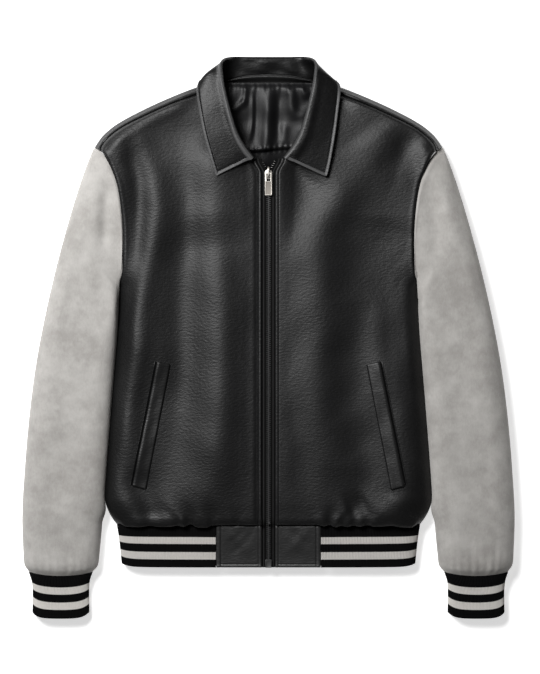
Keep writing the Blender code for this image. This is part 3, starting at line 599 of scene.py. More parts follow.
front = {
    "wall": 1.6, "stitchAt": 5.2,
    # ridges and grooves along the zip edge and the seams: place, height, half width
    "edge": [(2.0, 0.55, 1.9), (0, -0.9, 0.6)], "armhole": [(0, -1.3, 1.4), (4, 0.5, 2.4)],
    "shoulder": [(4, 0.6, 1.8)],
    # the shoulder seam's own groove, near the collar and beyond: depths, half widths
    "shoulderGroove": ((3.4, 2.4), (3.0, 1.5)),
    # beside the zip: the stitched groove's depth and half width, and the dip beyond it
    "grooves": {-1: (1.0, 0.7, 1.5), +1: (0.45, 0.5, 0.0)},
    # the fronts fall away below the collar: line of its edge, depth, reach down to it and back up
    "collarDip": ((20, 248), (80, 220), {-1: 3.5, +1: 9.0}, 31.0, 120.0),
    # strokes on each front: plan points with x from the middle outwards, half width, height
    "swells": {
        -1: [(((70, 200), (65, 20), (65, -120), (75, -250)), 26, 7.0),  # the long swell beside the zip
             (((70, 290), (75, 200), (70, 120)), 55, 8.0),  # its broad top below the collar
             (((140, 350), (110, 200), (120, 60), (120, -60), (135, -220)), 24, -7.0),  # the hollow beyond it
             (((10, 120), (-15, 70), (-20, -60), (5, -200)), 24, -7.0),  # the dip at the zip
             (((200, 340), (155, 200), (170, 80), (195, 0), (250, -110)), 17, 4.0),  # fold before the armhole
             (((180, 310), (190, 260), (180, 210), (185, 60)), 13, -3.5),  # crease between it and the armhole
             (((180, 300), (215, 260), (220, 210), (250, 170)), 40, 7.0),  # fullness at the sleeve's cap
             (((85, 345), (175, 315), (225, 230)), 34, 7.0),  # and along the shoulder
             (((160, 60), (190, -65), (205, -190)), 17, 4.5),  # swell behind the pocket
             (((180, -10), (155, -150), (160, -280)), 42, -7.0),  # hollow under the pocket
             (((100, -110), (75, -190), (110, -265)), 30, 2.5),
             (((210, -200), (175, -210), (150, -270)), 19, -5.0)],
        +1: [(((170, 270), (135, 235), (100, 195), (70, 135), (75, 0), (70, -110), (110, -230)), 30, 5.0),
             (((185, 265), (165, 200), (125, 140), (160, 45), (120, -55), (165, -210)), 45, -7.0),
             (((15, 150), (0, 0), (-5, -215)), 14, 4.5),
             (((200, 145), (185, 60), (200, -25), (215, -120)), 13, 1.5),
             (((170, 170), (170, 115), (215, 100)), 45, -4.5),  # hollow in front of the armhole
             (((165, 285), (180, 265), (150, 220)), 15, -2.5),
             (((210, 280), (215, 265), (220, 205)), 13, 4.5),
             (((135, 290), (155, 265), (190, 250)), 43, 3.5),  # fullness at the shoulder
             (((155, 80), (150, -5), (160, -100)), 19, 3.5),  # swell behind the pocket
             (((100, -110), (140, -175), (105, -245)), 26, -4.5),
             (((155, -260), (180, -230), (185, -210)), 17, 4.5),
             (((105, -240), (140, -225)), 16, -4.0), (((35, -70), (45, -145), (55, -265)), 19, -2.0)],
    },
    # gathers above the hem seam: x, half width at the seam, depth
    "tucks": {-1: [(43, 4, 1.4), (78, 3.5, 2.4), (108, 3.5, 5.2), (126, 4, 1.8), (165, 6, 2.0)],
              +1: [(60, 4, 0.8), (84, 3.5, 4.4), (101, 4, 2.2), (118, 4, 2.6), (136, 4, 3.0), (170, 6, 1.6)]},
    "tuckReach": 42.0, "tuckSpread": 0.32, "tuckLean": 0.12, "dropTab": 6.5, "dropKnit": 14.0,
    "rollDepth": 10.0,
    # how far the leather hangs past the hem seam, at the tab and at the knit, and at least
    "over": (1.6, 6.0), "least": 0.4, "hang": 6.75,
    # how deep the hollows go, beside the zip and beyond
    "limit": (5.0, 20.0),
    # folds fade out over these lengths, from the zip edge and from the sides: start, length
    "calmZip": (4, 24), "calmSide": (2, 26),
    # a tuck's hollow and the ridge beside it: shares of its depth, and the ridge's distance in widths
    "tuckHollow": 1.3, "tuckRidge": 0.35, "tuckBeside": 1.9,
    # slow waves over the fronts and along the hanging edge: height, size
    "waves": (0.5, 58), "edgeWaves": (1.0, 62),
}


def hemDrop(x):  # how far the front's lower edge lies below the body's height, at the tab and at the knit
    return blend(front["dropTab"], front["dropKnit"], ease((x - 55) / 60))


def hemOver(x, side):  # how far the leather hangs past the hem seam
    over = blend(*front["over"], ease((x - 66) / 16)) * (1 - ease((x - 196) / 16))
    height, size = front["edgeWaves"]
    over = over + height * unevenness(x, x * 0, size, 2 + side)
    for place, width, depth in front["tucks"][side]:
        over = over - 0.9 * depth * bump(x - place, width * 1.6)
    return np.maximum(over, front["least"])


def frontHeight(x, y, side, detail=True):  # outer face of a front, x from the middle outwards
    up = np.maximum(y - body["hemSeamY"], 0)
    z = bodyTop(x, y, hemDrop(x) * (1 - quarter(up / front["rollDepth"])))
    z = z + shoulderLift(x, y)
    fromEdge = x - frontEdgeX(y)
    calm = fadeIn(fromEdge, front["calmZip"]) * fadeIn(toFall(x, y), front["calmSide"])
    neckCalm = 1 - ease((y - 250) / 30) * ease((100 - x) / 20)
    height, size = front["waves"]
    rise = strokes(x, y, front["swells"][side]) + height * unevenness(x, y * 0.6, size, 4 + side)
    rise = neckCalm * rise
    for place, width, depth in front["tucks"][side]:  # a hollow that widens upwards, and a ridge beside it
        spread = width + front["tuckSpread"] * up
        beside = x - place - front["tuckLean"] * up * math.sin(place)
        fading = depth * ease(up / 3) * bump(up, front["tuckReach"])
        rise = rise - front["tuckHollow"] * fading * bump(beside, spread) * width / spread
        rise = rise + front["tuckRidge"] * fading * bump(beside - spread * front["tuckBeside"], spread)
    (startX, startY), (endX, endY), dip, reach, back = front["collarDip"]
    below = blend(startY, endY, (x - startX) / (endX - startX)) - y + 14
    dipping = ease(below / reach) * (1 - ease((below - reach) / back)) * (1 - ease((x - 30) / 76))
    rise = rise - dip[side] * dipping
    limit = blend(*front["limit"], ease((x - 28) / 40))
    rise = np.where(rise < 0, -limit * np.tanh(-rise / limit), rise)
    z = z + calm * rise * (1 - 0.3 * bump(up, 8))
    if detail:
        grooveDepth, grooveWidth, beyond = front["grooves"][side]
        fromStitch = fromEdge - front["stitchAt"]
        z = z + ridges(fromEdge, front["edge"]) - grooveDepth * bump(fromStitch, grooveWidth)
        z = z - beyond * bump(fromStitch - 1.5, 3.0) * ease((fromEdge - 3.4) / 1.4)
        z = z + ridges(nearest(x, y, armhole(np.linspace(0, 1, 40)))[0], front["armhole"])
        seam = nearest(x, y, shoulderSeam(np.linspace(0, 1, 40)))[0]
        depths, widths = front["shoulderGroove"]
        depth, width = blend(*depths, ease((x - 100) / 50)), blend(*widths, ease((x - 100) / 60))
        z = z - depth * bump(seam, width) + ridges(seam, front["shoulder"])
    return z


def frontPoints(side):
    neckAt, underarmAt = body["neckAt"], body["underarmAt"]
    # finer rows along the zip edge, at its stitched groove
    edge = np.array([0, 0.4, 0.9, 1.4, 2, 2.7, 3.4, 3.9, 4.3, 4.7, 5.1, 5.5, 6, 6.6, 7.4, 8.7, 10.6, 12.9])
    edge = edge / 204
    u = np.concatenate([edge, np.linspace(edge[-1], neckAt, 40)[1:], blend(neckAt, 1, closing(46, 1.5))])
    sideLength = body["underarmY"] - body["hemSeamY"]
    low = np.concatenate([np.linspace(0, 20, 18), np.linspace(20, sideLength, 104)[1:]]) / sideLength
    v = np.concatenate([low * underarmAt, blend(underarmAt, 1, closing(62, 1.2))])

    def left(t):
        y = blend(body["hemSeamY"], body["frontNeck"][0][1], t)
        return np.stack([frontEdgeX(y), y], -1)

    def lowLine(t):
        return np.stack([blend(body["frontEdgeX"], body["rows"][0][1], t), t * 0 + body["hemSeamY"]], -1)

    plan = patch(left, lambda t: bodySide(t, seamShare), lowLine, topLine(frontNeck, shoulderSeam), u, v)
    x, y = plan[..., 0], plan[..., 1]
    z = frontHeight(x, y, side)
    z[v <= underarmAt, -1] = body["sideZ"] + body["sideGap"]
    up = np.clip((y - body["hemSeamY"]) / 9, 0, 1)
    y = y - hemOver(x, side) * front["hang"] * (1 - up) ** 2 * up * ease((toFall(x, y) - 1) / 8)
    return np.stack([side * x, y, z], -1)


def makeFront(name, side):
    points = frontPoints(side)
    piece = makeSheet(name, points, front["wall"], [leather, satin], turned=side < 0)
    y = np.linspace(-256, 238, 120)
    x = frontEdgeX(y) + front["stitchAt"]
    register(piece, replaces=sided("front", side))
    sewAlong(name + "Stitches", np.column_stack([side * x, y, frontHeight(x, y, side) + 0.1]))


makeFront("frontLeft", 1)
makeFront("frontRight", -1)
print("fronts made")


# back

back = {
    "wall": 1.6,
    "swells": [(((-120, 250), (-96, 120), (-110, -60)), 30, 1.0),
               (((110, 240), (92, 90), (120, -80)), 26, 1.1),
               (((-30, 200), (-12, 40), (-34, -120)), 24, 0.8),
               (((50, -60), (66, -160), (40, -240)), 16, 0.9),
               (((-160, -60), (-150, -150), (-176, -230)), 14, 0.9)],
    # beside the shoulder seam: place on the way over the shoulder, height, half width
    "seam": [(0.66, 0.8, 0.14), (0.42, -0.6, 0.1), (1, -2.2, 0.11)],
}


def makeBack(name):
    half = 1 - (1 - np.linspace(0, 1, 70)) ** 1.6
    below = half[half < body["neckAt"]]
    u = np.concatenate([below, [body["neckAt"]], half[half > body["neckAt"]]])
    low = np.linspace(0, 1, 70) ** 1.3 * body["underarmAt"]
    v = np.concatenate([low, blend(body["underarmAt"], 1, closing(52, 1.5))])
    plan = patch(lambda t: np.stack([t * 0, blend(body["hemSeamY"], body["backNeck"][0][1], t)], -1),
                 bodySide, lambda t: np.stack([body["rows"][0][1] * t, t * 0 + body["hemSeamY"]], -1),
                 topLine(backNeck, shoulderRidge), u, v)
    x, y = plan[..., 0], plan[..., 1]
    z = bodyUnder(x, y)
    z[v <= body["underarmAt"], -1] = body["sideZ"] - body["sideGap"]
    onRidge = u >= body["neckAt"]
    z[-1, onRidge] = body["sideZ"]
    # over the shoulder to its seam
    share = (u - body["neckAt"]) / (1 - body["neckAt"])
    seam = shoulderSeam(np.clip(share, 0, 1))
    top = plan[-1]
    seam = seam + unit(top - seam) * 2 * body["seamGap"]
    strips = []
    for t in np.linspace(0, 1, 11)[1:] ** 1.6:
        spot = blend(top, seam, t)
        height = bodyTop(spot[:, 0], spot[:, 1]) + shoulderLift(spot[:, 0], spot[:, 1])
        height += ridges(t, back["seam"])
        strips.append(np.column_stack([spot, height]))
    whole = np.concatenate([np.stack([x, y, z], -1), np.array(strips)])
    # the strip stands only over the shoulder: at the neck it stays in the last row
    whole[len(v):, ~onRidge] = whole[len(v) - 1, ~onRidge]
    points = withMirrored(whole)
    below = points[:len(v)]  # a view: its heights change in points too
    x, y = below[..., 0], below[..., 1]
    below[..., 2] += ease((toFall(x, y) - 16) / 20) * np.maximum(strokes(x, y, back["swells"]), 0)
    piece = makeSheet(name, points, back["wall"], [leather, satin], turned=True, closed=True)
    register(piece, replaces=["back"])


makeBack("backPanel")
print("back made")


# sleeves and cuffs

sleeve = {
    "wall": 1.6, "roll": 34.0, "floorRoll": 20.0, "bow": 4.6, "bowFrom": 0.8, "innerLift": 6.0,
    "innerOver": 0.45, "capShare": 0.36, "capHeightShare": 0.2, "capRounding": 90.0, "clear": (0.8, -0.4),
    # the cap's seam, as a place along, height and half width; the gathers' height
    "seam": [(0, -1.2, 0.006), (0.016, 0.5, 0.009)], "gathers": 0.5,
    # share of the way, outer x y, inner x y, height
    "rows": [(0.00, 243.1, 263.4, 208.6, 68.1, 38.0), (0.06, 253.2, 238.8, 209.5, 51.7, 40.0),
             (0.13, 265.2, 204.0, 210.5, 31.8, 42.0), (0.23, 280.1, 154.2, 211.9, 3.0, 43.0),
             (0.34, 297.0, 90.5, 215.1, -35.8, 43.5), (0.46, 312.9, 19.9, 219.3, -83.6, 43.5),
             (0.58, 325.4, -49.8, 223.7, -131.3, 43.0), (0.70, 334.3, -123.4, 227.3, -183.1, 42.5),
             (0.81, 339.8, -191.0, 229.4, -228.8, 42.0), (0.90, 342.8, -248.8, 232.2, -268.6, 41.0),
             (0.96, 341.3, -298.5, 235.4, -302.5, 39.5), (0.985, 339.6, -316.9, 237.8, -318.4, 36.5),
             (1.00, 333.5, -326.4, 245.0, -326.9, 29.0)],
    "swells": {
        +1: [(((226, 225), (228, 170), (238, 90)), 12, -3.4), (((243, 235), (250, 160), (256, 80)), 14, 1.8),
             (((300, 60), (280, 0), (240, -60)), 16, -1.4), (((250, 20), (285, -60), (300, -140)), 22, 1.8),
             (((240, -150), (275, -190), (322, -200)), 18, -1.5),
             (((245, -215), (290, -235), (330, -280)), 16, 1.8),
             (((262, -250), (280, -285), (284, -318)), 12, -1.6),
             (((310, -240), (316, -280), (306, -318)), 10, -1.3)],
        -1: [(((222, 222), (226, 160), (226, 108)), 9, -4.4), (((238, 225), (242, 150), (248, 60)), 14, 2.0),
             (((292, 80), (270, 20), (232, -20)), 18, -1.2), (((246, -10), (280, -60), (310, -150)), 24, 1.6),
             (((248, -120), (290, -170), (325, -190)), 20, -1.4),
             (((250, -200), (286, -240), (320, -290)), 18, 1.6),
             (((256, -262), (268, -295), (274, -320)), 11, -1.3),
             (((318, -250), (312, -290), (300, -320)), 10, -1.6)],
    },
}


def sleeveEnd(share):
    last = sleeve["rows"][-1]
    return blend(last[2], last[4], share) - sleeve["bow"] * (1 - (2 * share - 1) ** 2)


def aroundTube(count):  # share across a flattened tube and whether above, from its outer side over the top
    k = np.arange(count + 1)
    half = count // 2
    k = np.where(k <= half, k, count - k)
    return (1 - np.cos(np.pi * k / half)) / 2, np.arange(count + 1) <= half


def tubeHeight(outer, inner, height, sideZ, roll, above, floorRoll):
    top = sideZ + (height - sideZ) * quarter(outer / roll) * quarter(inner / roll)
    low = sideZ * (1 - quarter(np.minimum(outer, inner) / floorRoll))
    return np.where(above, top, low)


def sleevePoints(side):
    share, above = aroundTube(150)
    share, above = share[None, :], above[None, :]
    at = np.concatenate([np.linspace(0, 0.03, 7), np.linspace(0.03, 0.93, 120)[1:],
                         blend(0.93, 1, closing(26, 1.4))])[:, None]
    ring = readTable(sleeve["rows"], at[:, 0])[:, None, :]
    outer, inner = ring[..., 0:2], ring[..., 2:4]
    plan = blend(outer, inner, share[..., None])
    # below the armhole the inner side lies against the body
    touching = ease(at / 0.12) * ease((0.88 - at) / 0.08)
    tooFar = inner[:, 0, 0] - readTable(body["rows"], inner[:, 0, 1])[:, 0] + sleeve["innerOver"]
    plan[..., 0] -= touching * tooFar[:, None] * share ** 2
    bow = armhole(share[0]) + np.array(sleeve["clear"]) - blend(outer[0], inner[0], share[0][:, None])
    plan = plan + bow[None] * (1 - ease(at / sleeve["capShare"]))[..., None]
    x, y = plan[..., 0], plan[..., 1]
    bowed = ease((at - sleeve["bowFrom"]) / (1 - sleeve["bowFrom"]))
    y = y - sleeve["bow"] * (1 - (2 * share - 1) ** 2) * bowed
    width = np.linalg.norm(outer - inner, axis=2)
    away, near = share * width, (1 - share) * width
    sideZ = body["sideZ"] + sleeve["innerLift"] * touching * ease((share - 0.5) / 0.35)
    z = tubeHeight(away, near, ring[..., 4], sideZ, sleeve["roll"], above, sleeve["floorRoll"])
    beside = np.where(above, bodyTop(x, y), bodyUnder(x, y))
    # both sides of the cap meet along its outer edge
    beside = body["sideZ"] + (beside - body["sideZ"]) * quarter(away / (0.8 + sleeve["capRounding"] * at))
    z = blend(beside, z, ease(at / sleeve["capHeightShare"]))
    middle = ease(np.minimum(away, near) / 26)
    calm = middle * ease((1 - at) / 0.03) * ease(at / 0.05)
    rise = strokes(x, y, sleeve["swells"][side]) + 0.45 * unevenness(x, y, 70, 7 + side)
    # small gathers into the cuff
    gathers = np.sin(share * 61 + side) + 0.6 * np.sin(share * 37 + 2)
    gathers = gathers * bump(1 - at, 0.05) * ease((1 - at) / 0.012)
    rise = calm * rise + middle * sleeve["gathers"] * gathers + ridges(at, sleeve["seam"])
    z = z + np.where(above, rise, 0)
    return np.stack([side * x, y, z], -1)


def makeSleeve(name, side):
    points = sleevePoints(side)
    piece = makeSheet(name, points, sleeve["wall"], [suede, suedeBack], turned=side < 0, closed=True)
    for vertex in piece.data.vertices:  # the lining's side of the wall stays on the floor too
        vertex.co.z = max(vertex.co.z, 0)
    register(piece, replaces=sided("sleeve", side))


makeSleeve("sleeveLeft", 1)
makeSleeve("sleeveRight", -1)
print("sleeves made")

cuff = {
    "wall": 1.2, "depth": 62.0, "endY": -391.5, "sideZ": 11.0, "roll": 22.0, "corner": 6.0, "bow": 3.4,
    "ribs": 92, "ribHeight": 0.42, "samples": 6,
    # share of the depth, centre x, half width, height
    "rows": [(0.0, 289.25, 44.25, 27.5), (0.2, 289.5, 40.4, 25.0), (0.45, 289.5, 39.0, 23.5),
             (1.0, 289.5, 39.3, 23.0)],
    "stripes": [(0.262, 0.427), (0.612, 0.786)],
}


def ribbed(points, samples, height, down):
    # ribs stand out from the cloth, softer where it is sewn on, and the map counts them
    turn = np.arange(points.shape[1]) / samples
    wave = np.cos(2 * np.pi * turn)[None, :, None] * height
    points = points + normalsOf(points) * wave * blend(0.5, 1.0, ease(down / 0.1))[:, None, None]
    points[..., 2] = np.maximum(points[..., 2], 0)
    return points, mapOver(turn, down)


def makeCuff(name, side):
    down = np.concatenate([np.linspace(0, 0.94, 17), blend(0.94, 1, closing(6, 2))])
    lines = []
    share, above = aroundTube(200)
    bend = (2 * share - 1) ** 2
    for at in down:
        centre, half, height = readTable(cuff["rows"], at)
        x = centre + half * (1 - 2 * share)
        bottom = cuff["endY"] + cuff["corner"] * bend ** 3 + cuff["bow"] * bend * 0.5
        y = blend(sleeveEnd(share) - body["seamGap"], bottom, at) + cuff["bow"] * (bend - 1) * at * (1 - at)
        sideZ = blend(body["sideZ"], cuff["sideZ"], ease(at * 2))
        z = tubeHeight(share * 2 * half, (1 - share) * 2 * half, height, sideZ, cuff["roll"], above,
                       body["floorRoll"])
        lines.append(evenly(np.column_stack([x, y, z]), cuff["ribs"] * cuff["samples"] + 1))
    points, uv = ribbed(np.array(lines), cuff["samples"], -cuff["ribHeight"], down)
    points[:, -1] = points[:, 0]
    points[..., 0] *= side
    piece = makeSheet(name, points, cuff["wall"], [cuffKnit], uv=uv, turned=side < 0, closed=True)
    register(piece, replaces=sided("cuff", side))


cuffKnit = makeKnit("cuffKnit", cuff["stripes"], cuff["depth"], paintedLightCuffKnitSettings)
makeCuff("cuffLeft", 1)
makeCuff("cuffRight", -1)
print("cuffs made")


# hem

hem = {
    "wall": 1.2, "depth": 59.7, "endY": -320.2, "sideZ": 12.5, "roll": 26.0, "corner": 4.0, "bow": 3.2,
    "ribs": 336, "ribHeight": 0.42, "samples": 5, "levelX": 150.0,
    # share of the depth, half width, height
    "rows": [(0.0, 211.0, 27.0), (0.4, 207.8, 25.5), (1.0, 204.4, 24.0)],
    "stripes": [(0.289, 0.452), (0.641, 0.814)],
    "tabWall": 1.8, "tabEdgeX": 72.5,
    # the tab's stitched line, from the zip, from the knit and from the lower end
    "stitchAt": (4.6, 6.4, 4.6), "stitchDepth": 0.6,
    # its folds fade out towards the same edges: start, length
    "calm": ((6, 12), (8, 12), (6, 10)),
    # its ridges and grooves inwards from the same three edges and from the seam, as on the fronts
    "zipSide": [*front["edge"], (4.6, -0.55, 0.55)],
    "knitSide": [(3.2, 0.5, 2.0), (6.4, -0.7, 0.7), (0, -0.8, 0.7)],
    "endSide": [(2.0, 0.45, 1.8), (0, -0.8, 0.6)],
    "seamSide": [(0, -1.0, 1.0), (3.5, 0.4, 2.0)],
    # points, half width, height; the first one's turns over from side to side
    "swells": [(((18, -262), (34, -285), (60, -304)), 6, 0.9), (((60, -262), (40, -285), (22, -306)), 7, 1.0),
               (((30, -262), (46, -280), (62, -290)), 5, -0.8)],
}


def hemHeight(x, at):
    row = readTable(hem["rows"], at)
    half, height = row[..., 0], row[..., 1]
    seamX = np.minimum(x, hem["levelX"])
    seamZ = bodyTop(seamX, seamX * 0 + body["hemSeamY"], hemDrop(seamX))
    top = blend(seamZ, height, ease(0.25 + 0.75 * at))
    sideZ = blend(body["sideZ"], hem["sideZ"], at)
    return sideZ + (top - sideZ) * quarter((half - x) / hem["roll"])


def hemY(x, at):
    reach = np.abs(x) / readTable(hem["rows"], at)[..., 0]
    lift = hem["bow"] * reach ** 5 * at * (1.3 - at)
    return blend(body["hemSeamY"] - body["seamGap"], hem["endY"] + hem["corner"] * reach ** 24, at) + lift


def makeHemKnit(name):
    down = np.concatenate([np.linspace(0, 0.95, 15), blend(0.95, 1, closing(6, 2))])
    lines = []
    for at in down:
        half = readTable(hem["rows"], at)[0]
        sideZ = blend(body["sideZ"], hem["sideZ"], at)
        frontX = blend(hem["tabEdgeX"] + body["seamGap"], half, 1 - (1 - np.linspace(0, 1, 160)) ** 2)
        backX = half * (1 - np.linspace(0, 1, 160)[1:] ** 2)
        over = np.column_stack([frontX, hemY(frontX, at), hemHeight(frontX, at)])
        backZ = sideZ * (1 - quarter((half - backX) / body["floorRoll"]))
        under = np.column_stack([backX, hemY(backX, at), backZ])
        lines.append(evenly(np.concatenate([over, under]), hem["ribs"] // 2 * hem["samples"] + 1))
    half = np.array(lines)
    whole = np.concatenate([half, half[:, -2::-1] * np.array([-1, 1, 1])], 1)
    points, uv = ribbed(whole, hem["samples"], hem["ribHeight"], down)
    piece = makeSheet(name, points, hem["wall"], [hemKnit], uv=uv, turned=True)
    register(piece, replaces=["hem_knit"])


def makeHemTab(name, side):
    inner, outer = body["frontEdgeX"], hem["tabEdgeX"]
    edge = np.array([0, 0.4, 0.9, 1.4, 2.0, 2.6, 3.2, 3.7, 4.1, 4.5, 4.9, 5.4, 6.1, 7.2, 8.7])
    x = np.concatenate([inner + edge, np.linspace(inner + 8.7, outer - 9, 18)[1:],
                        outer - np.array([8, 7.3, 6.8, 6.4, 6.0, 5.5, 4.8, 4.0, 3.0, 2.0, 1.4, 0.9, 0.4, 0])])
    end = np.array([7.2, 6.3, 5.6, 5.0, 4.6, 4.2, 3.7, 3.0, 2.2, 1.5, 0.9, 0.4, 0])
    down = np.concatenate([[0, 0.008, 0.02, 0.04], np.linspace(0.04, 0.86, 18)[1:], 1 - end / hem["depth"]])
    first, *others = hem["swells"]
    swells = [(*first[:2], first[2] * side), *others]
    rows = []
    for at in down:
        y = hemY(x, at)
        z = hemHeight(x, at)
        fromZip, fromSide = x - inner, outer - x
        fromSeam, fromEnd = at * hem["depth"], (1 - at) * hem["depth"]
        sides = {"zipSide": fromZip, "knitSide": fromSide, "seamSide": fromSeam, "endSide": fromEnd}
        for sideName, away in sides.items():
            z = z + ridges(away, hem[sideName])
        inside = ease((fromZip - 4) / 3) * ease((fromSide - 5.5) / 3)
        z = z - hem["stitchDepth"] * inside * bump(fromEnd - hem["stitchAt"][2], 0.6)
        edges = zip((fromZip, fromSide, fromEnd), hem["calm"])
        calm = math.prod(fadeIn(away, reach) for away, reach in edges)
        z = z + calm * strokes(x, y, swells)
        rows.append(np.column_stack([side * x, y, z]))
    points = np.array(rows)
    piece = makeSheet(name, points, hem["tabWall"], [tabLeather], turned=side > 0)
    register(piece, replaces=sided("hem_tab", side))
    fromZip, fromSide, fromEnd = hem["stitchAt"]
    nearX, farX, low = inner + fromZip, outer - fromSide, 1 - fromEnd / hem["depth"]
    corners = [(nearX, 0.04), (nearX, low), (farX, low), (farX, 0.04)]
    path = np.concatenate([np.linspace(a, b, 20) for a, b in zip(corners, corners[1:])])
    x, at = path[:, 0], path[:, 1]
    sewAlong(name + "Stitches", np.column_stack([side * x, hemY(x, at), hemHeight(x, at) - 0.25]))


hemKnit = makeKnit("hemKnit", hem["stripes"], hem["depth"], knitSettings)
makeHemKnit("hemBand")
makeHemTab("hemTabLeft", 1)
makeHemTab("hemTabRight", -1)
print("hem made")


# collar

collar = {
    "wall": 2.2, "lean": 4.0, "leanFrom": 0.45, "stitchAt": 4.7, "corner": 3.2, "rimTilt": 0.25,
    "bellyShare": {-1: 0.7, +1: 0.25}, "edgeLift": {-1: 1.6, +1: 0.0},
    # where a highlight is painted along the roll, per side: from and to a distance from the roll, and its
    # strength; then its strength along the rim
    "rubbed": {-1: (0.5, 9.5, 0.9), +1: (-1.0, 5.0, 0.5)}, "rimPaintedHighlight": 0.7,
    # the roll's profile: distance from the inner edge and height over the leaf, for a roll of this radius
    "crestRadius": 4.6,
    "crest": {-1: [(0, -4.6), (0.35, -2.7), (0.9, -0.7), (1.5, 1.0), (2.2, 2.1), (3.0, 2.4), (4.5, 2.1),
                   (6.5, 1.3), (9, 0.5), (11.5, 0.1), (17, 0)],
              +1: [(0, -4.6), (0.35, -3.1), (1.0, -1.75), (2.0, -0.55), (3.0, 0.3), (4.2, 1.0), (5.5, 1.5),
                   (7, 1.65), (9, 1.35), (11.5, 0.8), (14, 0.3), (17, 0.0)]},
    # upper end of the stand at the back of the neck
    "standTop": [(-80, 352), (-66, 372), (-50, 384), (-30, 388), (30, 388), (50, 384), (66, 372), (80, 352)],
    # share from the middle of the back to the front end; seam, roll and outer edge, the fall's belly, radius
    "rows": [(0.00, 0, 368.2, 6.4, 0, 391.5, 6.0, 0, 348, 0.0, 0, 0, 0, 4.0),
             (0.09, 30, 366.4, 6.4, 31, 391.5, 6.5, 33, 347.5, 0.0, 0, 0, 0, 4.0),
             (0.16, 46, 363.2, 6.5, 49.5, 391.2, 10.5, 58, 347.5, 0.0, 1, 1, 0, 4.0),
             (0.22, 59, 360.6, 7.5, 60, 387.5, 24.0, 76, 348.5, 7.0, 4.0, 3.5, 2.0, 4.0),
             (0.27, 68.5, 359.9, 10.0, 64, 381.0, 35.0, 88.5, 352, 24.0, 4.5, 4.5, 4.0, 4.0),
             (0.32, 76.5, 358.6, 14.0, 64.5, 373.0, 40.0, 96, 352, 35.0, 3.5, 5, 4.0, 4.0),
             (0.38, 79.8, 354.2, 20.0, 63, 363, 43.2, 99.5, 345, 40.0, 1.5, 3.5, 3.0, 3.8),
             (0.45, 79.8, 344.5, 28.6, 61, 350.5, 45.4, 99, 331.5, 44.0, 0, 1.5, 1.2, 3.8),
             (0.55, 74.0, 327.8, 34.4, 56.5, 330, 47.4, 95.5, 306, 46.2, 0, 0, 0.6, 4.4),
             (0.66, 65.0, 306.8, 36.8, 50.5, 307, 48.2, 91.3, 281, 47.6, 0, 0, 0, 4.8),
             (0.77, 54.0, 282.0, 37.6, 42.5, 282.5, 47.8, 86, 257, 48.0, 0, 0, 0, 4.8),
             (0.88, 41.0, 263, 38.3, 32.5, 264, 47.2, 81, 236.5, 47.9, 0, 0, 0, 4.6),
             (1.00, 24.0, 250.5, 39.0, 20.5, 248, 46.6, 76.5, 220.5, 47.4, 0, 0, 0, 4.4)],
}


def collarPoints(side):
    half = np.concatenate([np.linspace(0, 0.97, 120), blend(0.97, 1, closing(12, 1.3))])
    seam, roll, edge, belly, radius = np.split(readTable(collar["rows"], half), (3, 6, 9, 12), axis=1)
    belly = belly * collar["bellyShare"][side]
    edge = edge + np.outer(ease((half - 0.4) / 0.3), (0, 0, collar["edgeLift"][side]))
    out = unit(unit(roll - seam) + unit(roll - edge))
    across = seam - edge
    across = unit(across - out * dot(across, out))
    centre = roll - out * radius
    rows = []
    for t in np.linspace(0, 1, 14)[:-1]:
        rows.append(blend(seam, centre + across * radius, t))
    for t in np.linspace(0, 0.5, 7)[:-1]:
        rows.append(centre + (across * math.cos(math.pi * t) + out * math.sin(math.pi * t)) * radius)
    full = ease((half - 0.3) / 0.12)[:, None]
    line = edge - (centre - across * radius)
    fallLength = np.linalg.norm(line, axis=1, keepdims=True)

    def crest(away):
        at = away * collar["crestRadius"] / radius[:, 0]
        plain = np.minimum(readTable(collar["crest"][1], at), 0)
        return blend(plain, readTable(collar["crest"][side], at), full) * radius / collar["crestRadius"]

    for away in np.array([0, 0.35, 0.7, 1.1, 1.6, 2.3, 3.1, 3.9]) / collar["crestRadius"]:
        away = away * radius
        rows.append(centre + out * (radius - away) - across * (radius + crest(away[:, 0])))
    tail = np.array([9.0, 7.6, 6.5, 5.7, 5.1, 4.6, 4.1, 3.5, 2.8, 2.1, 1.5, 0.9, 0.4, 0])
    shares = [t * (1 - 10.5 / fallLength) for t in np.linspace(0, 1, 15)] + [1 - d / fallLength for d in tail]
    for share in shares:
        point = centre - across * radius + line * share
        rise = across * crest((radius + share * fallLength)[:, 0])
        rows.append(point + belly * 4 * share * (1 - share) - rise)
    points = np.array(rows)
    # ease the joins between stand, roll and fall
    points[1:17] = 0.5 * points[1:17] + 0.25 * (points[0:16] + points[2:18])
    return half, points


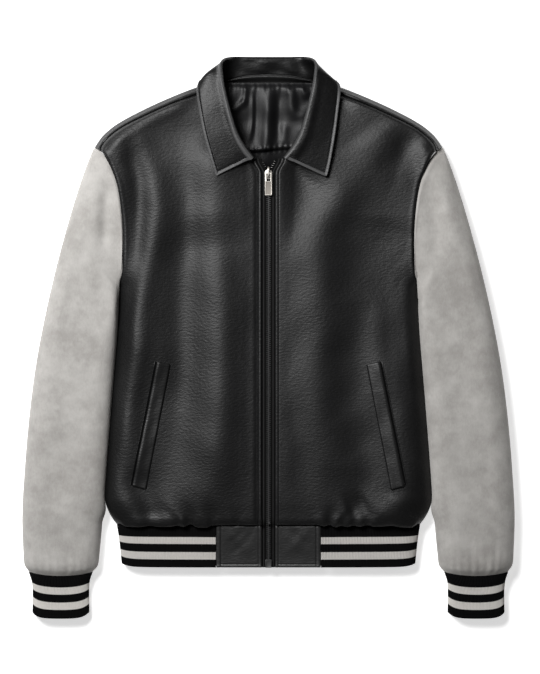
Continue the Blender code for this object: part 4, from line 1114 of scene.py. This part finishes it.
def makeCollar(name):
    half, left = collarPoints(1)
    right = collarPoints(-1)[1] * np.array([-1, 1, 1])
    count = len(left)
    lean = collar["lean"] * ease((half - collar["leanFrom"]) / (1 - collar["leanFrom"]))
    reach = (np.linspace(0, 1, count) ** 2)[:, None]
    left[..., 0] += lean * reach
    right[..., 0] += lean * reach
    whole = np.concatenate([right[:, :0:-1], left], 1)
    # distance on the fall to the outer edge and to the front ends
    normals = normalsOf(whole)
    outerEdge = whole[-1]
    fromEdge, fromLast, fromFirst = (np.linalg.norm(whole - line, axis=2)
                                     for line in (outerEdge, whole[:, -1:], whole[:, :1]))
    fromEnds = np.minimum(fromLast, fromFirst)
    m = np.arange(count)[:, None]
    onFall = ease((m - 27) / 4)
    # the turned rim leans towards the light on every side
    along = unit(np.gradient(outerEdge[:, :2], axis=0))
    lit = np.clip(3 * (0.66 * along[:, 1] + 0.75 * along[:, 0]), -1, 1)[None, :]

    def rim(away, tilt):
        plateau = ease(away / 0.6) * ease((4.5 - away) / 0.5)
        groove = 0.8 * bump(away - collar["stitchAt"], 0.5) + 0.8 * bump(away, 0.35)
        return plateau * (0.45 + tilt * (away - 2.1)) - groove

    rise = blend(rim(fromEnds, -collar["rimTilt"]), rim(fromEdge, collar["rimTilt"] * lit),
                 ease((fromEnds - fromEdge) / 2.5 + 0.5))
    whole = whole + normals * (onFall * rise)[..., None]
    uneven = -0.35 * onFall * (1 - bump(fromEdge, 8)) * unevenness(whole[..., 0], whole[..., 1], 60, 3)
    uneven += 1.1 * ease(m / 3) * ease((13 - m) / 3) * unevenness(whole[..., 0], whole[..., 1] * 1.3, 38, 8)
    whole = whole + normals * uneven[..., None]
    # round the two points
    radius = collar["corner"]
    for column, step in ((-1, -1), (0, 1)):
        corner = whole[-1, column].copy()
        alongEnd = unit(whole[-12, column] - corner)
        alongEdge = unit(whole[-1, column + step * 10] - corner)
        a = np.clip(radius - dot(whole - corner, alongEnd)[..., 0], 0, radius)
        b = np.clip(radius - dot(whole - corner, alongEdge)[..., 0], 0, radius)
        size = np.hypot(a, b)
        shrink = np.where(size > 0, np.maximum(a, b) / np.maximum(size, 1e-9), 1)
        near = np.linalg.norm(whole - corner, axis=2) < radius * 1.6
        a, b = (near * (1 - shrink) * length for length in (a, b))
        whole = whole + alongEnd * a[..., None] + alongEdge * b[..., None]
    whole[..., 2] = np.maximum(whole[..., 2], 0)
    # painted highlight along the roll and the rim
    fromRoll = np.hypot(*np.moveaxis(whole[..., :2] - whole[19:20, :, :2], 2, 0))
    ofLeft = np.arange(whole.shape[1])[None, :] > len(half)
    low, high, share = (np.where(ofLeft, a, b) for a, b in zip(collar["rubbed"][1], collar["rubbed"][-1]))
    along = np.abs(np.arange(whole.shape[1]) - (len(half) - 1))
    onFront = ease((half[along] - 0.2) / 0.1)[None, :]
    highlightShare = share * ease((fromRoll - low) / 2) * ease((high - fromRoll) / 3) * ease((m - 17) / 3) * onFront
    rimHighlightShare = ease((4.4 - np.minimum(fromEdge, fromEnds)) / 0.6) * ease((m - 24) / 3) * onFront
    highlightShare = np.maximum(highlightShare, rimHighlightShare * collar["rimPaintedHighlight"])
    # the map's first number says how much painted highlight each point gets
    uv = np.stack([highlightShare, np.broadcast_to(m / count, highlightShare.shape)], -1)
    piece = makeSheet(name, whole, collar["wall"], [collarLeather], uv=uv)
    piece.data.materials.append(standLeather)
    centres = np.array([face.center / mm for face in piece.data.polygons])
    standTop = readTable(collar["standTop"], centres[:, 0])[:, 0]
    inStand = (centres[:, 1] < standTop) & (centres[:, 2] < 22) & (np.abs(centres[:, 0]) < 66)
    for face, inside in zip(piece.data.polygons, inStand):
        face.material_index = int(inside and face.normal.z > 0)
    register(piece, replaces=["collar"])
    # stitches in the groove, round the outer edge and down the front end
    stitchRow, middle = count - 9, len(half) - 1
    begin = int(np.argmax(half > 0.36))
    for label, side in (("Right", -1), ("Left", 1)):
        columns = middle + side * np.arange(begin, middle + 1)
        last = int(np.argmin(np.abs(fromEnds[stitchRow, columns] - collar["stitchAt"])))
        path = np.concatenate([whole[stitchRow, columns[:last]], whole[stitchRow:26:-1, columns[last]]])
        sewAlong(name + "Stitches" + label, path + np.array([0, 0, 0.1]))


makeCollar("collarLeaf")
print("collar made")


# inside the neck

neck = {
    "liningTopY": 355.0, "liningSeamY": 262.0, "liningEndY": 214.0, "liningEndHalf": 88.0, "share": 0.78,
    "inset": 1.2, "leastFacing": 1.6, "facingWall": 1.0, "liningWall": 0.8,
    # height over the back's inner face: facing at its lower end and its rise from there, lining
    "facingOver": (2.0, 4.6), "liningOver": 7.4,
    # folds of the lining, as strokes with x across the whole neck
    "folds": [(((1, 357), (0, 330), (-1, 300), (-3, 262), (-4, 222)), 8.5, 5.0),
              (((-19, 356), (-18, 320), (-20, 262)), 4.5, -1.2),
              (((-24, 354), (-22, 330), (-23, 295), (-30, 262)), 3.4, 1.6),
              (((-34, 357), (-32, 342), (-36, 316)), 4.5, 2.2),
              (((-52, 310), (-42, 321), (-29, 334)), 4.5, 2.0),
              (((15, 355), (14, 320), (13, 265)), 6.5, -2.4),
              (((24, 357), (31, 340), (33, 318), (38, 300)), 7.5, 3.8),
              (((40, 357), (47, 345), (56, 330)), 6.0, 2.6), (((42, 322), (50, 300), (50, 275)), 11, 2.6),
              (((-62, 345), (-54, 306), (-42, 270)), 9, 2.6), (((21, 302), (22, 282), (19, 262)), 6.0, 1.4)],
}


def backInside(x, y):
    return bodyUnder(x, y) + back["wall"]


def facingDepth(top):  # down to the straight upper edge of the lining
    return np.maximum(top[:, 1] - neck["inset"] - neck["liningTopY"], neck["leastFacing"])


def makeFacing(name):
    share = np.linspace(0, 1, 40)
    top = backNeck(neck["share"] * share)
    over, rise = neck["facingOver"]
    rows = []
    for t in np.linspace(0, 1, 15):
        y = top[:, 1] - neck["inset"] - facingDepth(top) * (1 - t)
        z = backInside(top[:, 0], y) + over + rise * ease(t / 0.76) - 0.9 * np.clip((t - 0.78) / 0.22, 0, 1)
        rows.append(np.column_stack([top[:, 0], y, z]))
    points = withMirrored(np.array(rows))
    piece = makeSheet(name, points, neck["facingWall"], [facingLeather])
    register(piece, replaces=["back_neck_facing"])


def makeLining(name):
    u = np.linspace(-1, 1, 171)
    down = np.concatenate([np.linspace(0, 0.6, 56), np.linspace(0.6, 0.74, 22)[1:],
                           np.linspace(0.74, 1, 14)[1:]])
    top = backNeck(neck["share"] * np.abs(u))
    topY = top[:, 1] - neck["inset"] - facingDepth(top) - 0.5
    rows = []
    for t in down:
        x = blend(top[:, 0] * np.sign(u), neck["liningEndHalf"] * u, ease(t * 2))
        y = blend(topY, neck["liningEndY"], t)
        rise = strokes(x, y, neck["folds"]) * ease(t * 16)
        gather = (np.sin(x * 0.55) + 0.6 * np.sin(x * 0.93 + 1)) * bump(t, 0.09) * ease(t * 30)
        seam = neck["liningSeamY"] + 2.0 * np.sin(x * 0.06) - y
        tucked = -3.0 * ease(seam / 3) + 0.7 * bump(seam + 2, 1.6) + 0.5 * bump(seam, 5) * np.sin(x * 0.8)
        rise = rise * (1 - 0.7 * ease(seam / 4)) + 0.3 * gather + tucked
        z = backInside(np.abs(x), y) + neck["liningOver"] + rise
        z = z - 3.0 * bump(t, 0.035) + 0.5 * unevenness(x, y, 36, 5) * ease(t * 6)
        rows.append(np.column_stack([x, y, z]))
    points = np.array(rows)[::-1]
    piece = makeSheet(name, points, neck["liningWall"], [satin])
    piece.data.materials.append(shadedSatin)
    # faces below the lining seam take the less glossy satin, as painted shade
    for face in piece.data.polygons:
        face.material_index = int(face.center.y / mm < neck["liningSeamY"] - 1)
    register(piece, replaces=["back_lining"])


makeFacing("neckFacing")
makeLining("neckLining")
print("neck made")


# pockets

welt = {
    "wall": 1.8, "width": 20, "length": 180, "over": 1.9,
    # lower and upper end of the sewn side and of the open side
    "inner": np.array([(169, -212), (135, -38)]), "outer": np.array([(188.5, -206), (154, -33.5)]),
    # the mouth beside the open side, a dark strip of painted shade standing in for the opening, and the lip
    # beyond it: shares across, height, finish and slot
    "strips": {"PaintedShadeMouth": (1.0, 1.11, 0.2, paintedShadeCloth, "satin"),
               "Lip": (1.09, 1.18, 0.9, trimLeather, "leather")},
}


def weltSpot(u, v):  # u from the sewn side to the open side, v from the lower end up
    spot = blend(blend(*welt["inner"], v[..., None]), blend(*welt["outer"], v[..., None]), u[..., None])
    return spot[..., 0], spot[..., 1]


def makeWelt(name, side):
    size = np.array([welt["width"], welt["length"]])
    across = np.array([0, 0.4, 0.9, 1.5, 2.3, 3.2, 4.4, 6, 8, 10, 12, 14, 15.4, 16.6, 17.6, 18.4, 19, 19.5,
                       size[0]])
    end = np.array([0, 0.5, 1, 1.6, 2.4, 3.4])
    along = np.concatenate([end, np.linspace(5, size[1] - 5, 70), size[1] - end[::-1]])
    u, v = np.meshgrid(across / size[0], along / size[1])
    x, y = weltSpot(u, v)
    fromSewn, fromOpen, fromEnd = u * size[0], (1 - u) * size[0], np.minimum(v, 1 - v) * size[1]
    z = frontHeight(x, y, side, detail=False) + welt["over"] - welt["over"] * bump(fromSewn, 1.0)
    z = z + np.clip((fromOpen - 0.3) / 2.9, 0, 1) - 0.7 * ease((fromOpen - 3.2) / 9)
    z = z - 1.0 * bump(fromOpen, 0.5) - 1.3 * bump(fromEnd, 0.9)
    z = z + 0.3 * unevenness(x, y, 30, 6) * ease(fromEnd / 8)
    points = np.stack([side * x, y, z], -1)
    piece = makeSheet(name, points, welt["wall"], [trimLeather], turned=side < 0)
    register(piece, replaces=sided("pocket_welt", side))
    for part, (start, end, lift, finish, slot) in welt["strips"].items():
        u, v = np.meshgrid(np.linspace(start, end, 7), np.linspace(0.005, 0.995, 90))
        x, y = weltSpot(u, v)
        z = frontHeight(x, y, side, detail=False) + 0.15
        z = z + lift * np.sin(np.pi * (u - start) / (end - start)) * ease(np.minimum(v, 1 - v) * 20)
        strip = makeSheet(name + part, np.stack([side * x, y, z], -1), 0.5, [finish], turned=side < 0)
        register(strip)
    # stitches round the pocket
    path = evenly(np.array([(1.02, 1.01), (-0.07, 1.01), (-0.07, -0.01), (1.02, -0.01)]) * size, 120) / size
    x, y = weltSpot(path[:, 0], path[:, 1])
    sewAlong(name + "Stitches", np.column_stack([side * x, y, frontHeight(x, y, side, detail=False) + 0.1]))


makeWelt("weltLeft", 1)
makeWelt("weltRight", -1)
print("pockets made")


# zip

zipper = {
    "tapeWall": 0.8, "tapeInner": 1.2, "depth": 2.5, "pitch": 2.8, "topY": 246.5, "openSize": 0.62,
    "tapeRidges": [(0.6, 0.5, 0.6), (5.2, 0.7, 0.9)],  # place, height, half width
    "toothHalf": 0.62, "toothReach": (-0.85, 2.95), "toothHigh": 1.7, "chainY": (-308.5, 217.0),
    "openFromY": 234.5,
    "plateWidths": [(217.9, 0.6), (223.5, 0.8), (227.0, 1.0), (230.0, 0.8), (231.4, 0.36), (234.1, 0.28)],
    "plateOver": 2.6, "archY": (219.2, 235.2), "archHalf": 0.95, "archThick": 1.3,
    "slotHalf": 2.45, "slotY": (215.2, 224.9),
    # a tooth's waist: its place, its width and height; the head's width and height; rounding
    "waist": (1.3, 0.72, 0.8), "head": (0.8, 1.25), "toothRound": 0.22,
    # sunk panels: rim, slope, depth
    "pullPanel": (1.0, 0.25, 0.35), "boxPanel": (1.1, 0.3, 0.5),
}


def zipHeight(y):  # upper face of the tape
    y = np.asarray(y, float)
    at = np.clip((body["hemSeamY"] - body["seamGap"] - y) / hem["depth"], 0, 1)
    onHem = y < body["hemSeamY"] - body["seamGap"] / 2
    x = frontEdgeX(y)
    onFront = frontHeight(x, np.maximum(y, body["hemSeamY"]), 1, detail=False)
    return np.where(onHem, hemHeight(x, at), onFront) - zipper["depth"]


def parting(y):
    return frontEdgeX(y) - body["frontEdgeX"]


def makeZipTape(name, side):
    y = np.concatenate([np.linspace(hem["endY"], 216, 150), np.linspace(216, zipper["topY"], 26)[1:]])
    across = np.array([0, 0.5, 1.0, 1.6, 2.4, 3.4, 4.0, 4.5, 5.0, 5.5, 6.0, 6.6, 7.4, 9, 11, 13.8])
    x = across + zipper["tapeInner"]
    z = zipHeight(y)[:, None] + ridges(across, zipper["tapeRidges"])
    points = np.stack([side * (x[None, :] + parting(y)[:, None]), np.repeat(y[:, None], len(x), 1), z], -1)
    piece = makeSheet(name, points, zipper["tapeWall"], [tape], uv=mapOver(across, y), turned=side < 0)
    register(piece, replaces=sided("zip_tape", side))


def editMode(piece):
    only(piece)
    bpy.ops.object.mode_set(mode="EDIT")


def pick(piece, part, test):  # selects vertices or faces in edit mode by a test on their place in mm
    bpy.ops.mesh.select_mode(type="VERT" if part == "vertices" else "FACE")
    bpy.ops.mesh.select_all(action="DESELECT")
    objectMode()
    for item in getattr(piece.data, part):
        where = item.co if part == "vertices" else item.center
        item.select = bool(test(where / mm, item.normal))
    bpy.ops.object.mode_set(mode="EDIT")


def addBlock(name, low, high):  # a block between two corners, its object left at the origin
    low, high = Vector(low) * mm, Vector(high) * mm
    clearSelection()
    bpy.ops.mesh.primitive_cube_add(size=1, location=(low + high) / 2, scale=high - low)
    piece = bpy.context.object
    piece.name = piece.data.name = name
    settle(piece)
    return piece


def bisectAt(place, normal):
    bpy.ops.mesh.select_all(action="SELECT")
    bpy.ops.mesh.bisect(plane_co=Vector(place) * mm, plane_no=normal)


def roundOff(piece, width, segments, angle=30):
    step = piece.modifiers.new("rounded", "BEVEL")
    step.width, step.segments = width * mm, segments
    step.limit_method, step.angle_limit = "ANGLE", math.radians(angle)
    applyAll(piece)
    bpy.ops.object.shade_smooth_by_angle(angle=math.radians(40))


def makeTooth(name, size):  # one tooth of the left row, at y = 0, with its head over the middle
    near, far = (size * reach for reach in zipper["toothReach"])
    half, high = size * zipper["toothHalf"], size * zipper["toothHigh"]
    tooth = addBlock(name, (near, -half, -high / 2), (far, half, high / 2))
    editMode(tooth)
    place, wide, tall = zipper["waist"]
    waist = near + place * size
    bisectAt((waist, 0, 0), (1, 0, 0))
    pick(tooth, "vertices", lambda v, n: v.x > far - 0.1)
    bpy.ops.transform.resize(value=(1, *zipper["head"]))
    pick(tooth, "vertices", lambda v, n: abs(v.x - waist) < 0.2)
    bpy.ops.transform.resize(value=(1, wide, tall))
    objectMode()
    roundOff(tooth, zipper["toothRound"] * size, 1)
    return tooth


def rowOfTeeth(name, side, first, last, size=1.0):
    count = int((last - first) / zipper["pitch"])
    tooth = makeTooth(name, size)
    if side < 0:
        editMode(tooth)
        bpy.ops.mesh.select_all(action="SELECT")
        bpy.ops.transform.resize(value=(-1, 1, 1), center_override=(0, 0, 0))
        bpy.ops.mesh.normals_make_consistent(inside=False)
        objectMode()
    repeated(tooth, (0, zipper["pitch"], 0)).count = count
    applyAll(tooth)
    each = len(tooth.data.vertices) // count
    places = np.empty(len(tooth.data.vertices) * 3)
    tooth.data.vertices.foreach_get("co", places)
    places = places.reshape(-1, 3)
    y = first + (np.arange(len(places)) // each) * zipper["pitch"]
    places[:, 1] += first * mm
    places[:, 0] += side * parting(y) * mm
    places[:, 2] += (zipHeight(y) + 0.9) * mm
    tooth.data.vertices.foreach_set("co", places.ravel())
    tooth.data.materials.append(teethFinish)
    return tooth


def makeChain():
    first, last = zipper["chainY"]
    for name, side in (("zipTeethLeft", 1), ("zipTeethRight", -1)):  # the right row half a pitch further up
        row = rowOfTeeth(name, side, first + (side < 0) * zipper["pitch"] / 2, last)
        register(row, replaces=["zip_chain"])
    for name, side in (("openTeethLeft", 1), ("openTeethRight", -1)):
        start = zipper["openFromY"] + (side < 0) * zipper["pitch"] / 2
        row = rowOfTeeth(name, side, start, zipper["topY"], zipper["openSize"])
        row.data.materials[0] = openTeethFinish if side > 0 else teethFinish
        register(row)


def cornersOf(node):
    return (Vector(corner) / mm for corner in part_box(node))


def makeSlider(name):
    low, high = cornersOf("zip_slider")
    plateZ = low.z + zipper["plateOver"]
    plate = addBlock(name, low, (high.x, high.y, plateZ))
    editMode(plate)
    for y, _ in zipper["plateWidths"]:
        if low.y + 0.1 < y < high.y - 0.1:
            bisectAt((0, y, 0), (0, 1, 0))
    for y, width in zipper["plateWidths"]:
        pick(plate, "vertices", lambda v, n: abs(v.y - y) < 0.3)
        bpy.ops.transform.resize(value=(width, 1, 1))
    objectMode()
    roundOff(plate, 0.6, 3)
    # the arch that holds the pull
    start, end = zipper["archY"]
    half, thick = zipper["archHalf"], zipper["archThick"]
    arch = addBlock(name + "Arch", (-half, start, plateZ - thick), (half, end, plateZ))
    editMode(arch)
    cuts = np.linspace(start, end, 13)
    for y in cuts[1:-1]:
        bisectAt((0, y, 0), (0, 1, 0))
    for y in cuts:
        share = (y - start) / (end - start)
        pick(arch, "vertices", lambda v, n: abs(v.y - y) < 0.2)
        lift = (high.z - plateZ) * math.sqrt(max(1 - (2 * share - 1) ** 4, 0))
        bpy.ops.transform.translate(value=(0, 0, lift * mm))
        bpy.ops.transform.resize(value=(1 + 0.3 * float(ease((share - 0.55) / 0.35)), 1, 1))
    objectMode()
    roundOff(arch, 0.5, 3, angle=50)
    plate.data.materials.append(nickel)
    arch.data.materials.append(nickel)
    register(plate, replaces=["zip_slider"])
    register(arch)


def sink(panel):  # the selected faces, inside a rim
    rim, slope, depth = panel
    bpy.ops.mesh.inset(thickness=rim * mm, depth=0)
    bpy.ops.mesh.inset(thickness=slope * mm, depth=-depth * mm)


def makePull(name):
    low, high = cornersOf("zip_pull")
    half, (slotLow, slotHigh) = zipper["slotHalf"], zipper["slotY"]
    pull = addBlock(name, low, high)
    editMode(pull)
    for x in (-half, half):
        bisectAt((x, 0, 0), (1, 0, 0))
    for y in (slotLow, slotHigh):
        bisectAt((0, y, 0), (0, 1, 0))
    pick(pull, "polygons", lambda v, n: abs(n.z) > 0.9 and abs(v.x) < half and slotLow < v.y < slotHigh)
    bpy.ops.mesh.bridge_edge_loops()
    pick(pull, "polygons", lambda v, n: n.z > 0.9 and v.y < slotLow)
    sink(zipper["pullPanel"])
    objectMode()
    pull.data.materials.append(nickel)
    pull.data.materials.append(pullPanel)
    for face in pull.data.polygons:
        face.material_index = 1 if face.select and face.normal.z > 0.9 else 0
    roundOff(pull, 0.4, 2, angle=50)
    register(pull, body="pull", replaces=["zip_pull"])


def makeBottomBox(name):
    low, high = cornersOf("zip_box")
    box = addBlock(name, low, high)
    editMode(box)
    pick(box, "polygons", lambda v, n: n.z > 0.9)
    sink(zipper["boxPanel"])
    objectMode()
    roundOff(box, 0.4, 2)
    box.data.materials.append(teethFinish)
    register(box, replaces=["zip_box"])


makeZipTape("zipTapeLeft", 1)
makeZipTape("zipTapeRight", -1)
makeChain()
makeSlider("sliderPlate")
makePull("zipPull")
makeBottomBox("zipBottomBox")
print("zip made")


# floor, lights and camera

studio = {"floor": 14.0, "floorGlow": 0.6, "world": 0.07, "key": 62.0, "keyPlace": (-0.82, 0.92, 1.74),
          "keySize": 0.75, "camera": (0.0021, 0, 3.0), "lens": 114.45}


def makeFloor():
    clearSelection()
    bpy.ops.mesh.primitive_plane_add(size=studio["floor"], location=(0, 0, -0.0004))
    floor = bpy.context.object
    floor.name = "floor"
    finish = Finish("palePaper")
    grain = finish.noise(finish.place(), 60, 2)
    finish.set(Base_Color=finish.mix(grain, (0.9, 0.9, 0.9), (0.92, 0.92, 0.92)), Roughness=0.9,
               Specular_IOR_Level=0.1, Emission_Color=(1.0, 1.0, 1.0), Emission_Strength=studio["floorGlow"])
    floor.data.materials.append(finish.material)
    settle(floor)


def addKeyLight(name):
    light = bpy.data.lights.new(name, "AREA")
    light.shape = "SQUARE"
    light.size, light.energy = studio["keySize"], studio["key"]
    lamp = bpy.data.objects.new(name, light)
    bpy.context.scene.collection.objects.link(lamp)
    lamp.location = studio["keyPlace"]
    lamp.rotation_euler = (-lamp.location).to_track_quat("-Z", "Y").to_euler()
    lamp.visible_camera = False


makeFloor()
addKeyLight("keyLight")
world = bpy.data.worlds.new("studioWorld")
world.use_nodes = True
world.node_tree.nodes["Background"].inputs[0].default_value = (1, 1, 1, 1)
world.node_tree.nodes["Background"].inputs[1].default_value = studio["world"]
scene = bpy.context.scene
scene.world = world
scene.view_settings.view_transform = "Standard"

lens = bpy.data.cameras.new("camera")
lens.lens, lens.sensor_width = studio["lens"], 36
lens.clip_end = 50
camera = bpy.data.objects.new("camera", lens)
scene.collection.objects.link(camera)
camera.location = studio["camera"]
scene.camera = camera
print("studio made")
